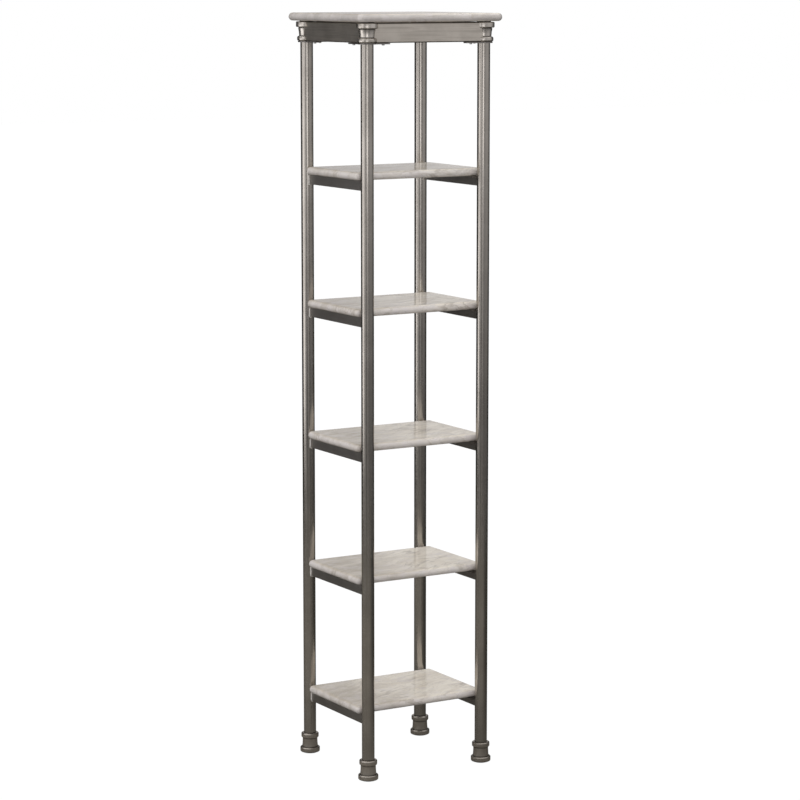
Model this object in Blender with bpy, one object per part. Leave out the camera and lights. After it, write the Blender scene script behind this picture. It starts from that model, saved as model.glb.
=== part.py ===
"""Bathroom storage tower: marble slabs on four tubular legs with turned feet and capitals.

Metres, +Z up. The origin is on the floor, midway between the legs.
X runs along the width, and the front faces -Y.
"""
import math

import bmesh
import bpy
from mathutils import Matrix, Vector

# Legs, between their axes
LEG_SPACING_X = 0.336
LEG_SPACING_Y = 0.304

# Heights: the lowest shelf's top, then the clear bay over each shelf, the last up to the aprons
LOWEST_SHELF_TOP = 0.185
FIRST_BAY_HEIGHT = 0.313
SECOND_BAY_HEIGHT = 0.317
THIRD_BAY_HEIGHT = 0.319
FOURTH_BAY_HEIGHT = 0.318
TOP_BAY_HEIGHT = 0.3153

# Gap between pieces that touch
SEAT_GAP = 0.0003

# Leg tubes
TUBE_DIAMETER = 0.032
TUBE_WALL = 0.0015
TUBE_TOP_INSET = 0.001

# Marble slabs
TOP_THICKNESS = 0.020
TOP_OVERHANG = 0.0123
TOP_CORNER_RADIUS = 0.022
SHELF_THICKNESS = 0.020
SHELF_END_OVERHANG = 0.0175
SHELF_LEG_CLEARANCE = 0.006
SHELF_CORNER_RADIUS = 0.012
SMALLEST_FACE_CORNER = 0.001

# Side rails, angle section
RAIL_FLANGE = 0.025
RAIL_THICKNESS = 0.003
RAIL_ROOT_RADIUS = 0.0025
RAIL_TOE_RADIUS = 0.0014
RAIL_OUTSET = 0.0025

# Plugs in the tubes' upper ends, whose heads carry the top slab
PLUG_HEAD_PROJECTION = 0.002
PLUG_HEAD_THICKNESS = 0.0014
PLUG_STEM_LENGTH = 0.014

# Apron panels, folded sheet
APRON_HEIGHT = 0.0487
APRON_LIP = 0.016
APRON_SHEET = 0.002
APRON_BEND_RADIUS = 0.001
APRON_SETBACK = 0.001

# Capitals, measured out from the tube
BAND_HEIGHT = 0.014
BAND_PROJECTION = 0.0107
BAND_EDGE_RADIUS = 0.0026
NECK_TOP_PROJECTION = 0.0055
NECK_FOOT_PROJECTION = 0.0030
GROOVE_DEPTH = 0.0014
GROOVE_WIDTH = 0.0018
CAPITAL_RING_HEIGHT = 0.0125
CAPITAL_RING_PROJECTION = 0.0079
CAPITAL_RING_EDGE_RADIUS = 0.0045

# Feet, measured out from the tube
FOOT_HEIGHT = 0.0525
FOOT_FLOOR_GAP = 0.0015
BEAD_HEIGHT = 0.0130
BEAD_PROJECTION = 0.0066
BEAD_EDGE_RADIUS = 0.0042
WAIST_TOP_PROJECTION = 0.0032
WAIST_FOOT_PROJECTION = 0.0046
FOOT_RING_HEIGHT = 0.0135
FOOT_RIM_WIDTH = 0.0049
FOOT_RING_EDGE_RADIUS = 0.0032
FOOT_WEB = 0.0025

# Threaded inserts in the tubes
INSERT_DEPTH = 0.020
INSERT_FLANGE = 0.002

# Levelling glides and their studs
STUD_DIAMETER = 0.008
STUD_TOP_HEIGHT = 0.050
STUD_HEX_FLATS = 0.013
STUD_HEX_HEIGHT = 0.0045
STUD_HEX_CLEARANCE = 0.0010
GLIDE_PROJECTION = 0.0040
GLIDE_THICKNESS = 0.0032
GLIDE_BOSS_RADIUS = 0.0070
GLIDE_BOSS_HEIGHT = 0.0030
GLIDE_SOCKET_FLOOR = 0.0016
GLIDE_SIDE_CLEARANCE = 0.0006

# Corner plates
PLATE_THICKNESS = 0.003
PLATE_REACH_X = 0.058
PLATE_REACH_Y = 0.070
PLATE_ARM_WIDTH = 0.016
PLATE_EDGE_INSET = 0.002
PLATE_HEEL_MARGIN = 0.006

# Screws through the corner plates
SCREW_FROM_ARM_END = 0.016
SCREW_SHANK_RADIUS = 0.0018
SCREW_HEAD_RADIUS = 0.0035
SCREW_HEAD_HEIGHT = 0.0024
SCREW_TAIL = 0.004

# Facets
TURNED_STEPS = 20
GLIDE_STEPS = 16
STUD_STEPS = 12
FASTENER_STEPS = 6
HEXAGON_SIDES = 6
CORNER_STEPS = 4
BULLNOSE_STEPS = 6
EDGE_STEPS = 2
FLARE_STEPS = 3

# The largest share of a wall or a ring that one rounded edge may take
LARGEST_EDGE_SHARE = 0.49

# Heights that follow
BAY_HEIGHTS = (FIRST_BAY_HEIGHT, SECOND_BAY_HEIGHT, THIRD_BAY_HEIGHT, FOURTH_BAY_HEIGHT, TOP_BAY_HEIGHT)
SHELF_TOPS = [
    LOWEST_SHELF_TOP + sum(BAY_HEIGHTS[:number]) + number * SHELF_THICKNESS
    for number in range(len(BAY_HEIGHTS))
]
APRON_BOTTOM = SHELF_TOPS[-1] + BAY_HEIGHTS[-1]
APRON_TOP = APRON_BOTTOM + APRON_HEIGHT
TOWER_HEIGHT = APRON_TOP + 2 * SEAT_GAP + PLUG_HEAD_THICKNESS + TOP_THICKNESS
PLATE_TOP = APRON_BOTTOM - SEAT_GAP
PLATE_BOTTOM = PLATE_TOP - PLATE_THICKNESS
BEAD_BOTTOM = FOOT_HEIGHT - BEAD_HEIGHT
FOOT_RING_TOP = FOOT_FLOOR_GAP + FOOT_RING_HEIGHT
GLIDE_CEILING = GLIDE_THICKNESS + SEAT_GAP
HEX_BOTTOM = GLIDE_THICKNESS + GLIDE_BOSS_HEIGHT + SEAT_GAP
HEX_TOP = HEX_BOTTOM + STUD_HEX_HEIGHT
WELL_TOP = HEX_TOP + STUD_HEX_CLEARANCE
FOOT_SHOULDER = WELL_TOP + FOOT_WEB
INSERT_BOTTOM = FOOT_SHOULDER + SEAT_GAP
INSERT_FLANGE_TOP = INSERT_BOTTOM + INSERT_FLANGE
TUBE_BOTTOM = INSERT_FLANGE_TOP + SEAT_GAP
TUBE_TOP = APRON_TOP - TUBE_TOP_INSET

# Radii and widths that follow
TUBE_RADIUS = TUBE_DIAMETER / 2
TUBE_INNER_RADIUS = TUBE_RADIUS - TUBE_WALL
BORE_RADIUS = TUBE_RADIUS + SEAT_GAP
PLUG_HEAD_RADIUS = TUBE_RADIUS + PLUG_HEAD_PROJECTION
BAND_RADIUS = TUBE_RADIUS + BAND_PROJECTION
GLIDE_RADIUS = TUBE_RADIUS + GLIDE_PROJECTION
RECESS_RADIUS = GLIDE_RADIUS + GLIDE_SIDE_CLEARANCE
STUD_RADIUS = STUD_DIAMETER / 2
STUD_BORE_RADIUS = STUD_RADIUS + SEAT_GAP
HEX_RADIUS = STUD_HEX_FLATS / 2 / math.cos(math.pi / HEXAGON_SIDES)
WELL_RADIUS = max(HEX_RADIUS, GLIDE_BOSS_RADIUS) + GLIDE_SIDE_CLEARANCE
APRON_FACE = TUBE_RADIUS - APRON_SETBACK
APRON_LIP_EDGE = APRON_LIP - APRON_FACE
ARM_OUTER = APRON_FACE - PLATE_EDGE_INSET
ARM_INNER = PLATE_ARM_WIDTH - ARM_OUTER
SCREW_LINE = (min(ARM_INNER, APRON_LIP_EDGE) - ARM_OUTER) / 2
RAIL_HALF_LENGTH = LEG_SPACING_Y / 2 - BORE_RADIUS
RAIL_FACE = LEG_SPACING_X / 2 + RAIL_OUTSET

# Which way each leg stands from the middle
CORNERS = {
    "front_left": (-1, -1),
    "front_right": (1, -1),
    "back_left": (-1, 1),
    "back_right": (1, 1),
}

# Colour, metallic value and roughness of each finish
FINISHES = {
    "marble": ((0.78, 0.76, 0.73), 0.0, 0.18),
    "turned_metal": ((0.46, 0.43, 0.39), 1.0, 0.28),
    "brushed_sheet": ((0.42, 0.39, 0.35), 1.0, 0.38),
    "frame_metal": ((0.30, 0.28, 0.26), 1.0, 0.42),
    "zinc": ((0.62, 0.62, 0.60), 1.0, 0.35),
    "black_rubber": ((0.03, 0.03, 0.03), 0.0, 0.80),
    "black_plastic": ((0.04, 0.04, 0.04), 0.0, 0.55),
}


def clear_scene():
    """Take away whatever the scene holds."""
    for obj in list(bpy.data.objects):
        bpy.data.objects.remove(obj, do_unlink=True)


def leg_axis(corner):
    """Where a leg meets the floor."""
    side_x, side_y = CORNERS[corner]
    return Vector((side_x * LEG_SPACING_X / 2, side_y * LEG_SPACING_Y / 2, 0.0))


def inward_point(corner, along_x, along_y):
    """A point in plan, measured from a leg's axis towards the middle."""
    side_x, side_y = CORNERS[corner]
    axis = leg_axis(corner)
    return (axis.x - side_x * along_x, axis.y - side_y * along_y)


def finish_material(name, finish):
    """The piece's own material."""
    colour, metallic, roughness = FINISHES[finish]
    material = bpy.data.materials.new(name)
    material.use_nodes = True
    shader = material.node_tree.nodes["Principled BSDF"]
    shader.inputs["Base Color"].default_value = (*colour, 1.0)
    shader.inputs["Metallic"].default_value = metallic
    shader.inputs["Roughness"].default_value = roughness
    material.diffuse_color = (*colour, 1.0)
    return material


def finished_mesh(bm, name, smooth=True):
    """Turn a bmesh into a mesh whose faces point outwards."""
    bmesh.ops.recalc_face_normals(bm, faces=bm.faces)
    mesh = bpy.data.meshes.new(name)
    bm.to_mesh(mesh)
    bm.free()
    if smooth:
        mesh.shade_smooth()
        mesh.set_sharp_from_angle(angle=math.radians(35))
    mesh.materials.append(None)
    return mesh


def add_piece(name, mesh, finish, location=(0.0, 0.0, 0.0)):
    """Put a named piece in the scene, with its own material."""
    piece = bpy.data.objects.new(name, mesh)
    piece.location = location
    bpy.context.collection.objects.link(piece)
    piece.material_slots[0].link = "OBJECT"
    piece.material_slots[0].material = finish_material(name, finish)
    return piece


def add_tool_shape(name, mesh, location=(0.0, 0.0, 0.0)):
    """A shape that cuts or joins others and isn't a piece itself."""
    shape = bpy.data.objects.new(name, mesh)
    shape.location = location
    shape.hide_render = True
    shape.display_type = "WIRE"
    bpy.context.collection.objects.link(shape)
    return shape


def combine(piece, shape, operation):
    """Cut a shape out of a piece, or join it on."""
    modifier = piece.modifiers.new(shape.name, "BOOLEAN")
    modifier.operation = operation
    modifier.solver = "EXACT"
    modifier.object = shape


def arc(centre, radius, start, end, steps):
    """Points along a circle, with its angles in degrees."""
    points = []
    for step in range(steps + 1):
        angle = math.radians(start + (end - start) * step / steps)
        points.append((centre[0] + radius * math.cos(angle), centre[1] + radius * math.sin(angle)))
    return points


def add_skin(bm, loops):
    """Join loops of points into one solid, closed by a face at each end."""
    rows = [[bm.verts.new(point) for point in loop] for loop in loops]
    for lower, upper in zip(rows, rows[1:]):
        for i in range(len(lower)):
            bm.faces.new((lower[i - 1], lower[i], upper[i], upper[i - 1]))
    bm.faces.new(rows[0])
    bm.faces.new(rows[-1])


def add_lathe(bm, rings, steps, place=Matrix()):
    """A solid of revolution without a bore, from rings of radius and height."""
    loops = []
    for radius, height in rings:
        angles = [math.tau * step / steps for step in range(steps)]
        ring = [Vector((radius * math.cos(angle), radius * math.sin(angle), height)) for angle in angles]
        loops.append([place @ point for point in ring])
    add_skin(bm, loops)


def bored_mesh(name, profile):
    """A turned piece with a bore, spun from its closed section."""
    bm = bmesh.new()
    verts = [bm.verts.new((radius, 0.0, height)) for radius, height in profile]
    edges = [bm.edges.new((verts[i - 1], verts[i])) for i in range(len(verts))]
    bmesh.ops.spin(
        bm, geom=verts + edges, cent=(0.0, 0.0, 0.0), axis=(0.0, 0.0, 1.0),
        angle=math.tau, steps=TURNED_STEPS, use_merge=True,
    )
    return finished_mesh(bm, name)


def prism_mesh(name, outline, low, high):
    """An outline in plan, carried from one height to another."""
    bm = bmesh.new()
    add_skin(bm, [[(x, y, height) for x, y in outline] for height in (low, high)])
    return finished_mesh(bm, name, smooth=False)


def bar_mesh(name, section, half_length, along):
    """A section of sideways and height points, carried along X or Y."""
    bm = bmesh.new()
    loops = []
    for end in (-half_length, half_length):
        if along == "X":
            loops.append([(end, side, height) for side, height in section])
        else:
            loops.append([(side, end, height) for side, height in section])
    add_skin(bm, loops)
    return finished_mesh(bm, name)


def rounded_rectangle(length, depth, radius):
    """A rectangle in plan with rounded corners."""
    outline = []
    for side_x, side_y, start in ((1, 1, 0), (-1, 1, 90), (-1, -1, 180), (1, -1, 270)):
        centre = (side_x * (length / 2 - radius), side_y * (depth / 2 - radius))
        outline += arc(centre, radius, start, start + 90, CORNER_STEPS)
    return outline


def slab_mesh(name, length, depth, corner_radius, thickness):
    """A slab whose edge is rounded over from face to face, with its top at height 0."""
    nose = thickness / 2
    corner_radius = max(corner_radius, nose + SMALLEST_FACE_CORNER)
    bm = bmesh.new()
    loops = []
    for inset_from_tip, height in arc((0.0, -nose), nose, -90, 90, BULLNOSE_STEPS):
        inset = nose - inset_from_tip
        outline = rounded_rectangle(length - 2 * inset, depth - 2 * inset, corner_radius - inset)
        loops.append([(x, y, height) for x, y in outline])
    add_skin(bm, loops)
    return finished_mesh(bm, name)


def add_slabs():
    """The marble top and the shelves."""
    reach = 2 * (BAND_RADIUS + TOP_OVERHANG)
    mesh = slab_mesh(
        "top_slab", LEG_SPACING_X + reach, LEG_SPACING_Y + reach, TOP_CORNER_RADIUS, TOP_THICKNESS)
    add_piece("marble_top", mesh, "marble", (0.0, 0.0, TOWER_HEIGHT))
    length = LEG_SPACING_X + 2 * SHELF_END_OVERHANG
    depth = LEG_SPACING_Y - TUBE_DIAMETER - 2 * SHELF_LEG_CLEARANCE
    mesh = slab_mesh("shelf_slab", length, depth, SHELF_CORNER_RADIUS, SHELF_THICKNESS)
    for number, height in enumerate(SHELF_TOPS, 1):
        add_piece(f"marble_shelf_{number}", mesh, "marble", (0.0, 0.0, height))


def turned_ring(inner_top, inner_bottom, outer, top, bottom, edge):
    """The side of a raised ring from top to bottom, rounded at both edges."""
    depth = outer - max(inner_top, inner_bottom)
    edge = min(edge, (top - bottom) * LARGEST_EDGE_SHARE, depth * 2 * LARGEST_EDGE_SHARE)
    upper = arc((outer - edge, top - edge), edge, 90, 0, EDGE_STEPS)
    lower = arc((outer - edge, bottom + edge), edge, 0, -90, EDGE_STEPS)
    return [(inner_top, top)] + upper + lower + [(inner_bottom, bottom)]


def flare(top_radius, top, foot_radius, bottom):
    """A hollow curve, upright at its thinner end."""
    points = []
    for step in range(FLARE_STEPS + 1):
        share = step / FLARE_STEPS
        bend = share ** 2 if foot_radius > top_radius else 1 - (1 - share) ** 2
        points.append((top_radius + (foot_radius - top_radius) * bend, top + (bottom - top) * share))
    return points


def capital_side(growth=0.0):
    """The capital's outer side from top to bottom, grown by a clearance for what is coped round it."""
    neck_top = TUBE_RADIUS + NECK_TOP_PROJECTION + growth
    neck_foot = TUBE_RADIUS + NECK_FOOT_PROJECTION + growth
    groove = neck_top - GROOVE_DEPTH
    band_bottom = -BAND_HEIGHT - growth
    neck_start = -BAND_HEIGHT - GROOVE_WIDTH + growth
    ring_top = CAPITAL_RING_HEIGHT - APRON_HEIGHT + growth
    side = turned_ring(
        BORE_RADIUS, groove, BAND_RADIUS + growth, growth, band_bottom, BAND_EDGE_RADIUS + growth)
    side.append((groove, neck_start))
    side += flare(neck_top, neck_start, neck_foot, ring_top)
    side += turned_ring(
        neck_foot, BORE_RADIUS, TUBE_RADIUS + CAPITAL_RING_PROJECTION + growth,
        ring_top, -APRON_HEIGHT - growth, CAPITAL_RING_EDGE_RADIUS + growth)[1:]
    return side


def add_capitals():
    """Turned capitals, sleeved over the tops of the tubes."""
    mesh = bored_mesh("capital", capital_side())
    for corner in CORNERS:
        add_piece("capital_" + corner, mesh, "turned_metal", leg_axis(corner) + Vector((0, 0, APRON_TOP)))


def foot_section():
    """The foot's outer side, then its glide recess, well, web and tube socket."""
    waist_top = TUBE_RADIUS + WAIST_TOP_PROJECTION
    waist_foot = TUBE_RADIUS + WAIST_FOOT_PROJECTION
    bead = turned_ring(
        BORE_RADIUS, waist_top, TUBE_RADIUS + BEAD_PROJECTION, FOOT_HEIGHT, BEAD_BOTTOM, BEAD_EDGE_RADIUS)
    waist = flare(waist_top, BEAD_BOTTOM, waist_foot, FOOT_RING_TOP)
    ring = turned_ring(
        waist_foot, RECESS_RADIUS, RECESS_RADIUS + FOOT_RIM_WIDTH,
        FOOT_RING_TOP, FOOT_FLOOR_GAP, FOOT_RING_EDGE_RADIUS)
    inside = [
        (RECESS_RADIUS, GLIDE_CEILING),
        (WELL_RADIUS, GLIDE_CEILING),
        (WELL_RADIUS, WELL_TOP),
        (STUD_BORE_RADIUS, WELL_TOP),
        (STUD_BORE_RADIUS, FOOT_SHOULDER),
        (BORE_RADIUS, FOOT_SHOULDER),
    ]
    return bead + waist[1:] + ring[1:] + inside


def add_feet():
    """Turned feet, pressed on the lower ends of the tubes."""
    mesh = bored_mesh("foot", foot_section())
    for corner in CORNERS:
        add_piece("foot_" + corner, mesh, "turned_metal", leg_axis(corner))


def add_leg_tubes():
    """Straight tubes, open at both ends."""
    section = [
        (TUBE_INNER_RADIUS, TUBE_TOP),
        (TUBE_RADIUS, TUBE_TOP),
        (TUBE_RADIUS, TUBE_BOTTOM),
        (TUBE_INNER_RADIUS, TUBE_BOTTOM),
    ]
    mesh = bored_mesh("leg_tube", section)
    for corner in CORNERS:
        add_piece("leg_tube_" + corner, mesh, "turned_metal", leg_axis(corner))


def add_inserts():
    """Threaded inserts pressed into the lower ends of the tubes."""
    body = TUBE_INNER_RADIUS - SEAT_GAP
    section = [
        (STUD_BORE_RADIUS, INSERT_FLANGE_TOP + INSERT_DEPTH),
        (body, INSERT_FLANGE_TOP + INSERT_DEPTH),
        (body, INSERT_FLANGE_TOP),
        (TUBE_RADIUS, INSERT_FLANGE_TOP),
        (TUBE_RADIUS, INSERT_BOTTOM),
        (STUD_BORE_RADIUS, INSERT_BOTTOM),
    ]
    mesh = bored_mesh("leg_insert", section)
    for corner in CORNERS:
        add_piece("leg_insert_" + corner, mesh, "zinc", leg_axis(corner))


def add_plugs():
    """Plugs in the tubes' upper ends, with flat heads that lie on the capitals."""
    stem_radius = TUBE_INNER_RADIUS - SEAT_GAP
    rings = [
        (stem_radius, -PLUG_STEM_LENGTH),
        (stem_radius, SEAT_GAP),
        (PLUG_HEAD_RADIUS, SEAT_GAP),
        (PLUG_HEAD_RADIUS, SEAT_GAP + PLUG_HEAD_THICKNESS),
    ]
    bm = bmesh.new()
    add_lathe(bm, rings, TURNED_STEPS)
    mesh = finished_mesh(bm, "top_plug")
    for corner in CORNERS:
        add_piece("top_plug_" + corner, mesh, "black_plastic", leg_axis(corner) + Vector((0, 0, APRON_TOP)))


def add_glides():
    """Levelling pads and the hexagon-shouldered studs that stand in them."""
    boss_top = GLIDE_THICKNESS + GLIDE_BOSS_HEIGHT
    bm = bmesh.new()
    rings = [
        (GLIDE_RADIUS, 0.0),
        (GLIDE_RADIUS, GLIDE_THICKNESS),
        (GLIDE_BOSS_RADIUS, GLIDE_THICKNESS),
        (GLIDE_BOSS_RADIUS, boss_top),
        (STUD_BORE_RADIUS, boss_top),
        (STUD_BORE_RADIUS, GLIDE_SOCKET_FLOOR),
    ]
    add_lathe(bm, rings, GLIDE_STEPS)
    pad_mesh = finished_mesh(bm, "glide_pad")

    bm = bmesh.new()
    add_lathe(bm, [(STUD_RADIUS, GLIDE_SOCKET_FLOOR + SEAT_GAP), (STUD_RADIUS, STUD_TOP_HEIGHT)], STUD_STEPS)
    shank_mesh = finished_mesh(bm, "glide_stud")

    bm = bmesh.new()
    add_lathe(bm, [(HEX_RADIUS, HEX_BOTTOM), (HEX_RADIUS, HEX_TOP)], HEXAGON_SIDES)
    hex_mesh = finished_mesh(bm, "stud_hexagon", smooth=False)

    for corner in CORNERS:
        add_piece("glide_pad_" + corner, pad_mesh, "black_rubber", leg_axis(corner))
        stud = add_piece("glide_stud_" + corner, shank_mesh, "zinc", leg_axis(corner))
        combine(stud, add_tool_shape("stud_hexagon_" + corner, hex_mesh, leg_axis(corner)), "UNION")


def rail_section(side):
    """An angle section: upright flange outside, level flange on top, with its top at height 0."""
    root = RAIL_ROOT_RADIUS
    toe = min(RAIL_TOE_RADIUS, RAIL_THICKNESS * LARGEST_EDGE_SHARE)
    section = [(0.0, 0.0), (0.0, -RAIL_FLANGE)]
    section += arc((RAIL_THICKNESS - toe, toe - RAIL_FLANGE), toe, -90, 0, EDGE_STEPS)
    section += arc((RAIL_THICKNESS + root, -RAIL_THICKNESS - root), root, 180, 90, EDGE_STEPS)
    section += arc((RAIL_FLANGE - toe, toe - RAIL_THICKNESS), toe, -90, 0, EDGE_STEPS)
    section.append((RAIL_FLANGE, 0.0))
    return [(side * (RAIL_FACE - across), height) for across, height in section]


def rail_top(shelf_top):
    """The height of a rail's level flange under its shelf."""
    return shelf_top - SHELF_THICKNESS - SEAT_GAP


def add_rails():
    """Angle rails between the front and back tubes, a left and a right one under each shelf."""
    for side_name, side in (("left", -1), ("right", 1)):
        mesh = bar_mesh("rail_" + side_name, rail_section(side), RAIL_HALF_LENGTH, "Y")
        for number, height in enumerate(SHELF_TOPS, 1):
            add_piece(f"rail_{side_name}_{number}", mesh, "frame_metal", (0.0, 0.0, rail_top(height)))


def apron_section(face, side):
    """A folded channel open to the inside, with its outer face at a distance from the middle."""
    inner = APRON_BEND_RADIUS
    outer = inner + APRON_SHEET
    wall = APRON_SHEET
    height = APRON_HEIGHT
    section = [(APRON_LIP, 0.0)]
    section += arc((outer, -outer), outer, 90, 180, EDGE_STEPS)
    section += arc((outer, outer - height), outer, 180, 270, EDGE_STEPS)
    section += [(APRON_LIP, -height), (APRON_LIP, wall - height)]
    section += arc((outer, outer - height), inner, 270, 180, EDGE_STEPS)
    section += arc((outer, -outer), inner, 180, 90, EDGE_STEPS)
    section.append((APRON_LIP, -wall))
    return [(side * (face - across), level) for across, level in section]


def add_aprons(capital_space, screw_space):
    """Folded panels between the capitals, coped round them and bored for the screws."""
    sides = (
        ("apron_front", -1, "X"),
        ("apron_back", 1, "X"),
        ("apron_left", -1, "Y"),
        ("apron_right", 1, "Y"),
    )
    for name, side, along in sides:
        span, across = (LEG_SPACING_X, LEG_SPACING_Y) if along == "X" else (LEG_SPACING_Y, LEG_SPACING_X)
        mesh = bar_mesh(name, apron_section(across / 2 + APRON_FACE, side), span / 2, along)
        apron = add_piece(name, mesh, "brushed_sheet", (0.0, 0.0, APRON_TOP))
        combine(apron, capital_space, "DIFFERENCE")
        combine(apron, screw_space, "DIFFERENCE")


def plate_outline(corner):
    """Two arms joined by a hollow curve inside and a round heel outside."""
    reach_x = PLATE_REACH_X - ARM_INNER
    reach_y = PLATE_REACH_Y - ARM_INNER
    steps = 2 * CORNER_STEPS
    hollow = []
    for x, y in arc((0.0, 0.0), 1.0, 270, 180, steps):
        hollow.append((PLATE_REACH_X + reach_x * x, PLATE_REACH_Y + reach_y * y))
    heel_radius = TUBE_RADIUS + PLATE_HEEL_MARGIN
    heel_start = math.degrees(math.asin(ARM_OUTER / heel_radius))
    heel = arc((0.0, 0.0), heel_radius, 90 + heel_start, 360 - heel_start, steps)
    outline = [(PLATE_REACH_X, -ARM_OUTER)] + hollow + [(-ARM_OUTER, PLATE_REACH_Y)]
    return [inward_point(corner, x, y) for x, y in outline + heel]


def screw_points(corner):
    """Where a corner plate's two screws stand, one under each apron."""
    return (
        inward_point(corner, PLATE_REACH_X - SCREW_FROM_ARM_END, SCREW_LINE),
        inward_point(corner, SCREW_LINE, PLATE_REACH_Y - SCREW_FROM_ARM_END),
    )


def add_corner_plates(tube_space, screw_space):
    """Flat plates under the capitals that tie each pair of aprons to a leg."""
    for corner in CORNERS:
        mesh = prism_mesh("corner_plate", plate_outline(corner), PLATE_BOTTOM, PLATE_TOP)
        plate = add_piece("corner_plate_" + corner, mesh, "frame_metal")
        combine(plate, tube_space, "DIFFERENCE")
        combine(plate, screw_space, "DIFFERENCE")


def add_plate_screws():
    """Screws driven up through the corner plates into the lower lips of the aprons."""
    head_top = PLATE_BOTTOM - SEAT_GAP
    rings = [
        (SCREW_HEAD_RADIUS, head_top - SCREW_HEAD_HEIGHT),
        (SCREW_HEAD_RADIUS, head_top),
        (SCREW_SHANK_RADIUS, head_top),
        (SCREW_SHANK_RADIUS, APRON_BOTTOM + APRON_SHEET + SCREW_TAIL),
    ]
    bm = bmesh.new()
    add_lathe(bm, rings, FASTENER_STEPS)
    mesh = finished_mesh(bm, "plate_screw")
    for corner in CORNERS:
        for number, (x, y) in enumerate(screw_points(corner), 1):
            add_piece(f"plate_screw_{corner}_{number}", mesh, "zinc", (x, y, 0.0))


def capital_space_shape():
    """The room that the aprons leave for the four capitals."""
    side = capital_side(SEAT_GAP)[1:-1]
    bm = bmesh.new()
    for corner in CORNERS:
        place = Matrix.Translation(leg_axis(corner) + Vector((0, 0, APRON_TOP)))
        add_lathe(bm, side, TURNED_STEPS, place)
    return add_tool_shape("capital_space", finished_mesh(bm, "capital_space", smooth=False))


def upright_space_shape(name, points, radius, steps):
    """Round holes through the corner plates and the lower lips of the aprons."""
    rings = [(radius, PLATE_BOTTOM - PLATE_THICKNESS), (radius, APRON_BOTTOM + 2 * APRON_SHEET)]
    bm = bmesh.new()
    for x, y in points:
        add_lathe(bm, rings, steps, Matrix.Translation((x, y, 0.0)))
    return add_tool_shape(name, finished_mesh(bm, name, smooth=False))


def add_top_frame():
    """The aprons, the corner plates and their screws."""
    legs = [inward_point(corner, 0.0, 0.0) for corner in CORNERS]
    tube_space = upright_space_shape("tube_space", legs, BORE_RADIUS, TURNED_STEPS)
    screws = [point for corner in CORNERS for point in screw_points(corner)]
    screw_space = upright_space_shape("screw_space", screws, SCREW_SHANK_RADIUS + SEAT_GAP, FASTENER_STEPS)
    add_aprons(capital_space_shape(), screw_space)
    add_corner_plates(tube_space, screw_space)
    add_plate_screws()


clear_scene()
add_slabs()
add_leg_tubes()
add_capitals()
add_feet()
add_inserts()
add_plugs()
add_glides()
add_rails()
add_top_frame()
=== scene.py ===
"""Dresses the bathroom storage tower: veined marble slabs on brushed metal legs, in a plain white studio.

Metres, +Z up. The origin is on the floor, midway between the legs, and the front faces -Y.
"""

import math

import bmesh
import bpy
from mathutils import Matrix, Vector


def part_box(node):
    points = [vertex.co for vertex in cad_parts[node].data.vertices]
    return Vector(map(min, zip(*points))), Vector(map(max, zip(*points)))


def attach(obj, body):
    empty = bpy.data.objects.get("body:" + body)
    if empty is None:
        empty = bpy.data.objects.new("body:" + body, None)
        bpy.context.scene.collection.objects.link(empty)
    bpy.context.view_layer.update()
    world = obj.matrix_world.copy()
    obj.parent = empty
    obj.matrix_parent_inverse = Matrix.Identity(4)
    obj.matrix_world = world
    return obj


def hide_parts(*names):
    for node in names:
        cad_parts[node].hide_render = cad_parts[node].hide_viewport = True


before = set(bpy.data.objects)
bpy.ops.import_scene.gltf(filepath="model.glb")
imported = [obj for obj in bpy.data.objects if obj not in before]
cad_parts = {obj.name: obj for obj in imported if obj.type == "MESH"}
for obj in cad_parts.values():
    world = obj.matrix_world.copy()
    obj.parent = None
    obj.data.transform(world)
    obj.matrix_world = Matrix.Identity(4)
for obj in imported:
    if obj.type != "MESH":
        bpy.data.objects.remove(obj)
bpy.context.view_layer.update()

# Which way each leg stands from the middle
CORNERS = {
    "front_left": (-1, -1),
    "front_right": (1, -1),
    "back_left": (-1, 1),
    "back_right": (1, 1),
}

# Clearance between pieces, and the share of an edge that a rounding may take
GAP = 0.0003
LARGEST_EDGE_SHARE = 0.49

# Points nearer than this are one, and edges sharper than this many degrees stay sharp
FINE_MERGE = 1e-7
MERGE = 1e-6
TURNED_MERGE = 2e-6
SHARP_ANGLE = 32.0
APRON_SHARP_ANGLE = 26.0

# Marble slabs
TOP_CORNER_RADIUS = 0.022
SHELF_CORNER_RADIUS = 0.012
LEAST_CORNER_RADIUS = 0.0004
FACE_INSET = 0.0006
NOSE_STEPS = 18
CORNER_STEPS = 14

# Turned pieces, measured out from the tube
TUBE_WALL = 0.0015
TUBE_MOUTH_CHAMFER = 0.0004
BAND_HEIGHT = 0.014
BAND_EDGE_RADIUS = 0.0026
NECK_TOP_PROJECTION = 0.0055
NECK_FOOT_PROJECTION = 0.0030
GROOVE_DEPTH = 0.0014
GROOVE_WIDTH = 0.0018
CAPITAL_RING_HEIGHT = 0.0125
CAPITAL_RING_PROJECTION = 0.0079
CAPITAL_RING_EDGE_RADIUS = 0.0045
BEAD_HEIGHT = 0.0130
BEAD_PROJECTION = 0.0066
BEAD_EDGE_RADIUS = 0.0042
WAIST_TOP_PROJECTION = 0.0032
WAIST_FOOT_PROJECTION = 0.0046
FOOT_RING_HEIGHT = 0.0135
FOOT_RING_EDGE_RADIUS = 0.0032
GLIDE_SIDE_CLEARANCE = 0.0006
WELL_CLEARANCE = 0.0010
FOOT_WEB = 0.0025
EDGE_STEPS = 9
FLARE_STEPS = 14
TURNED_STEPS = 96

# Painted shade in hollows: the least turn in radians that makes a hollow, and how far it reaches
HOLLOW_TURN = 0.5
HOLLOW_REACH = 0.0028

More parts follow.
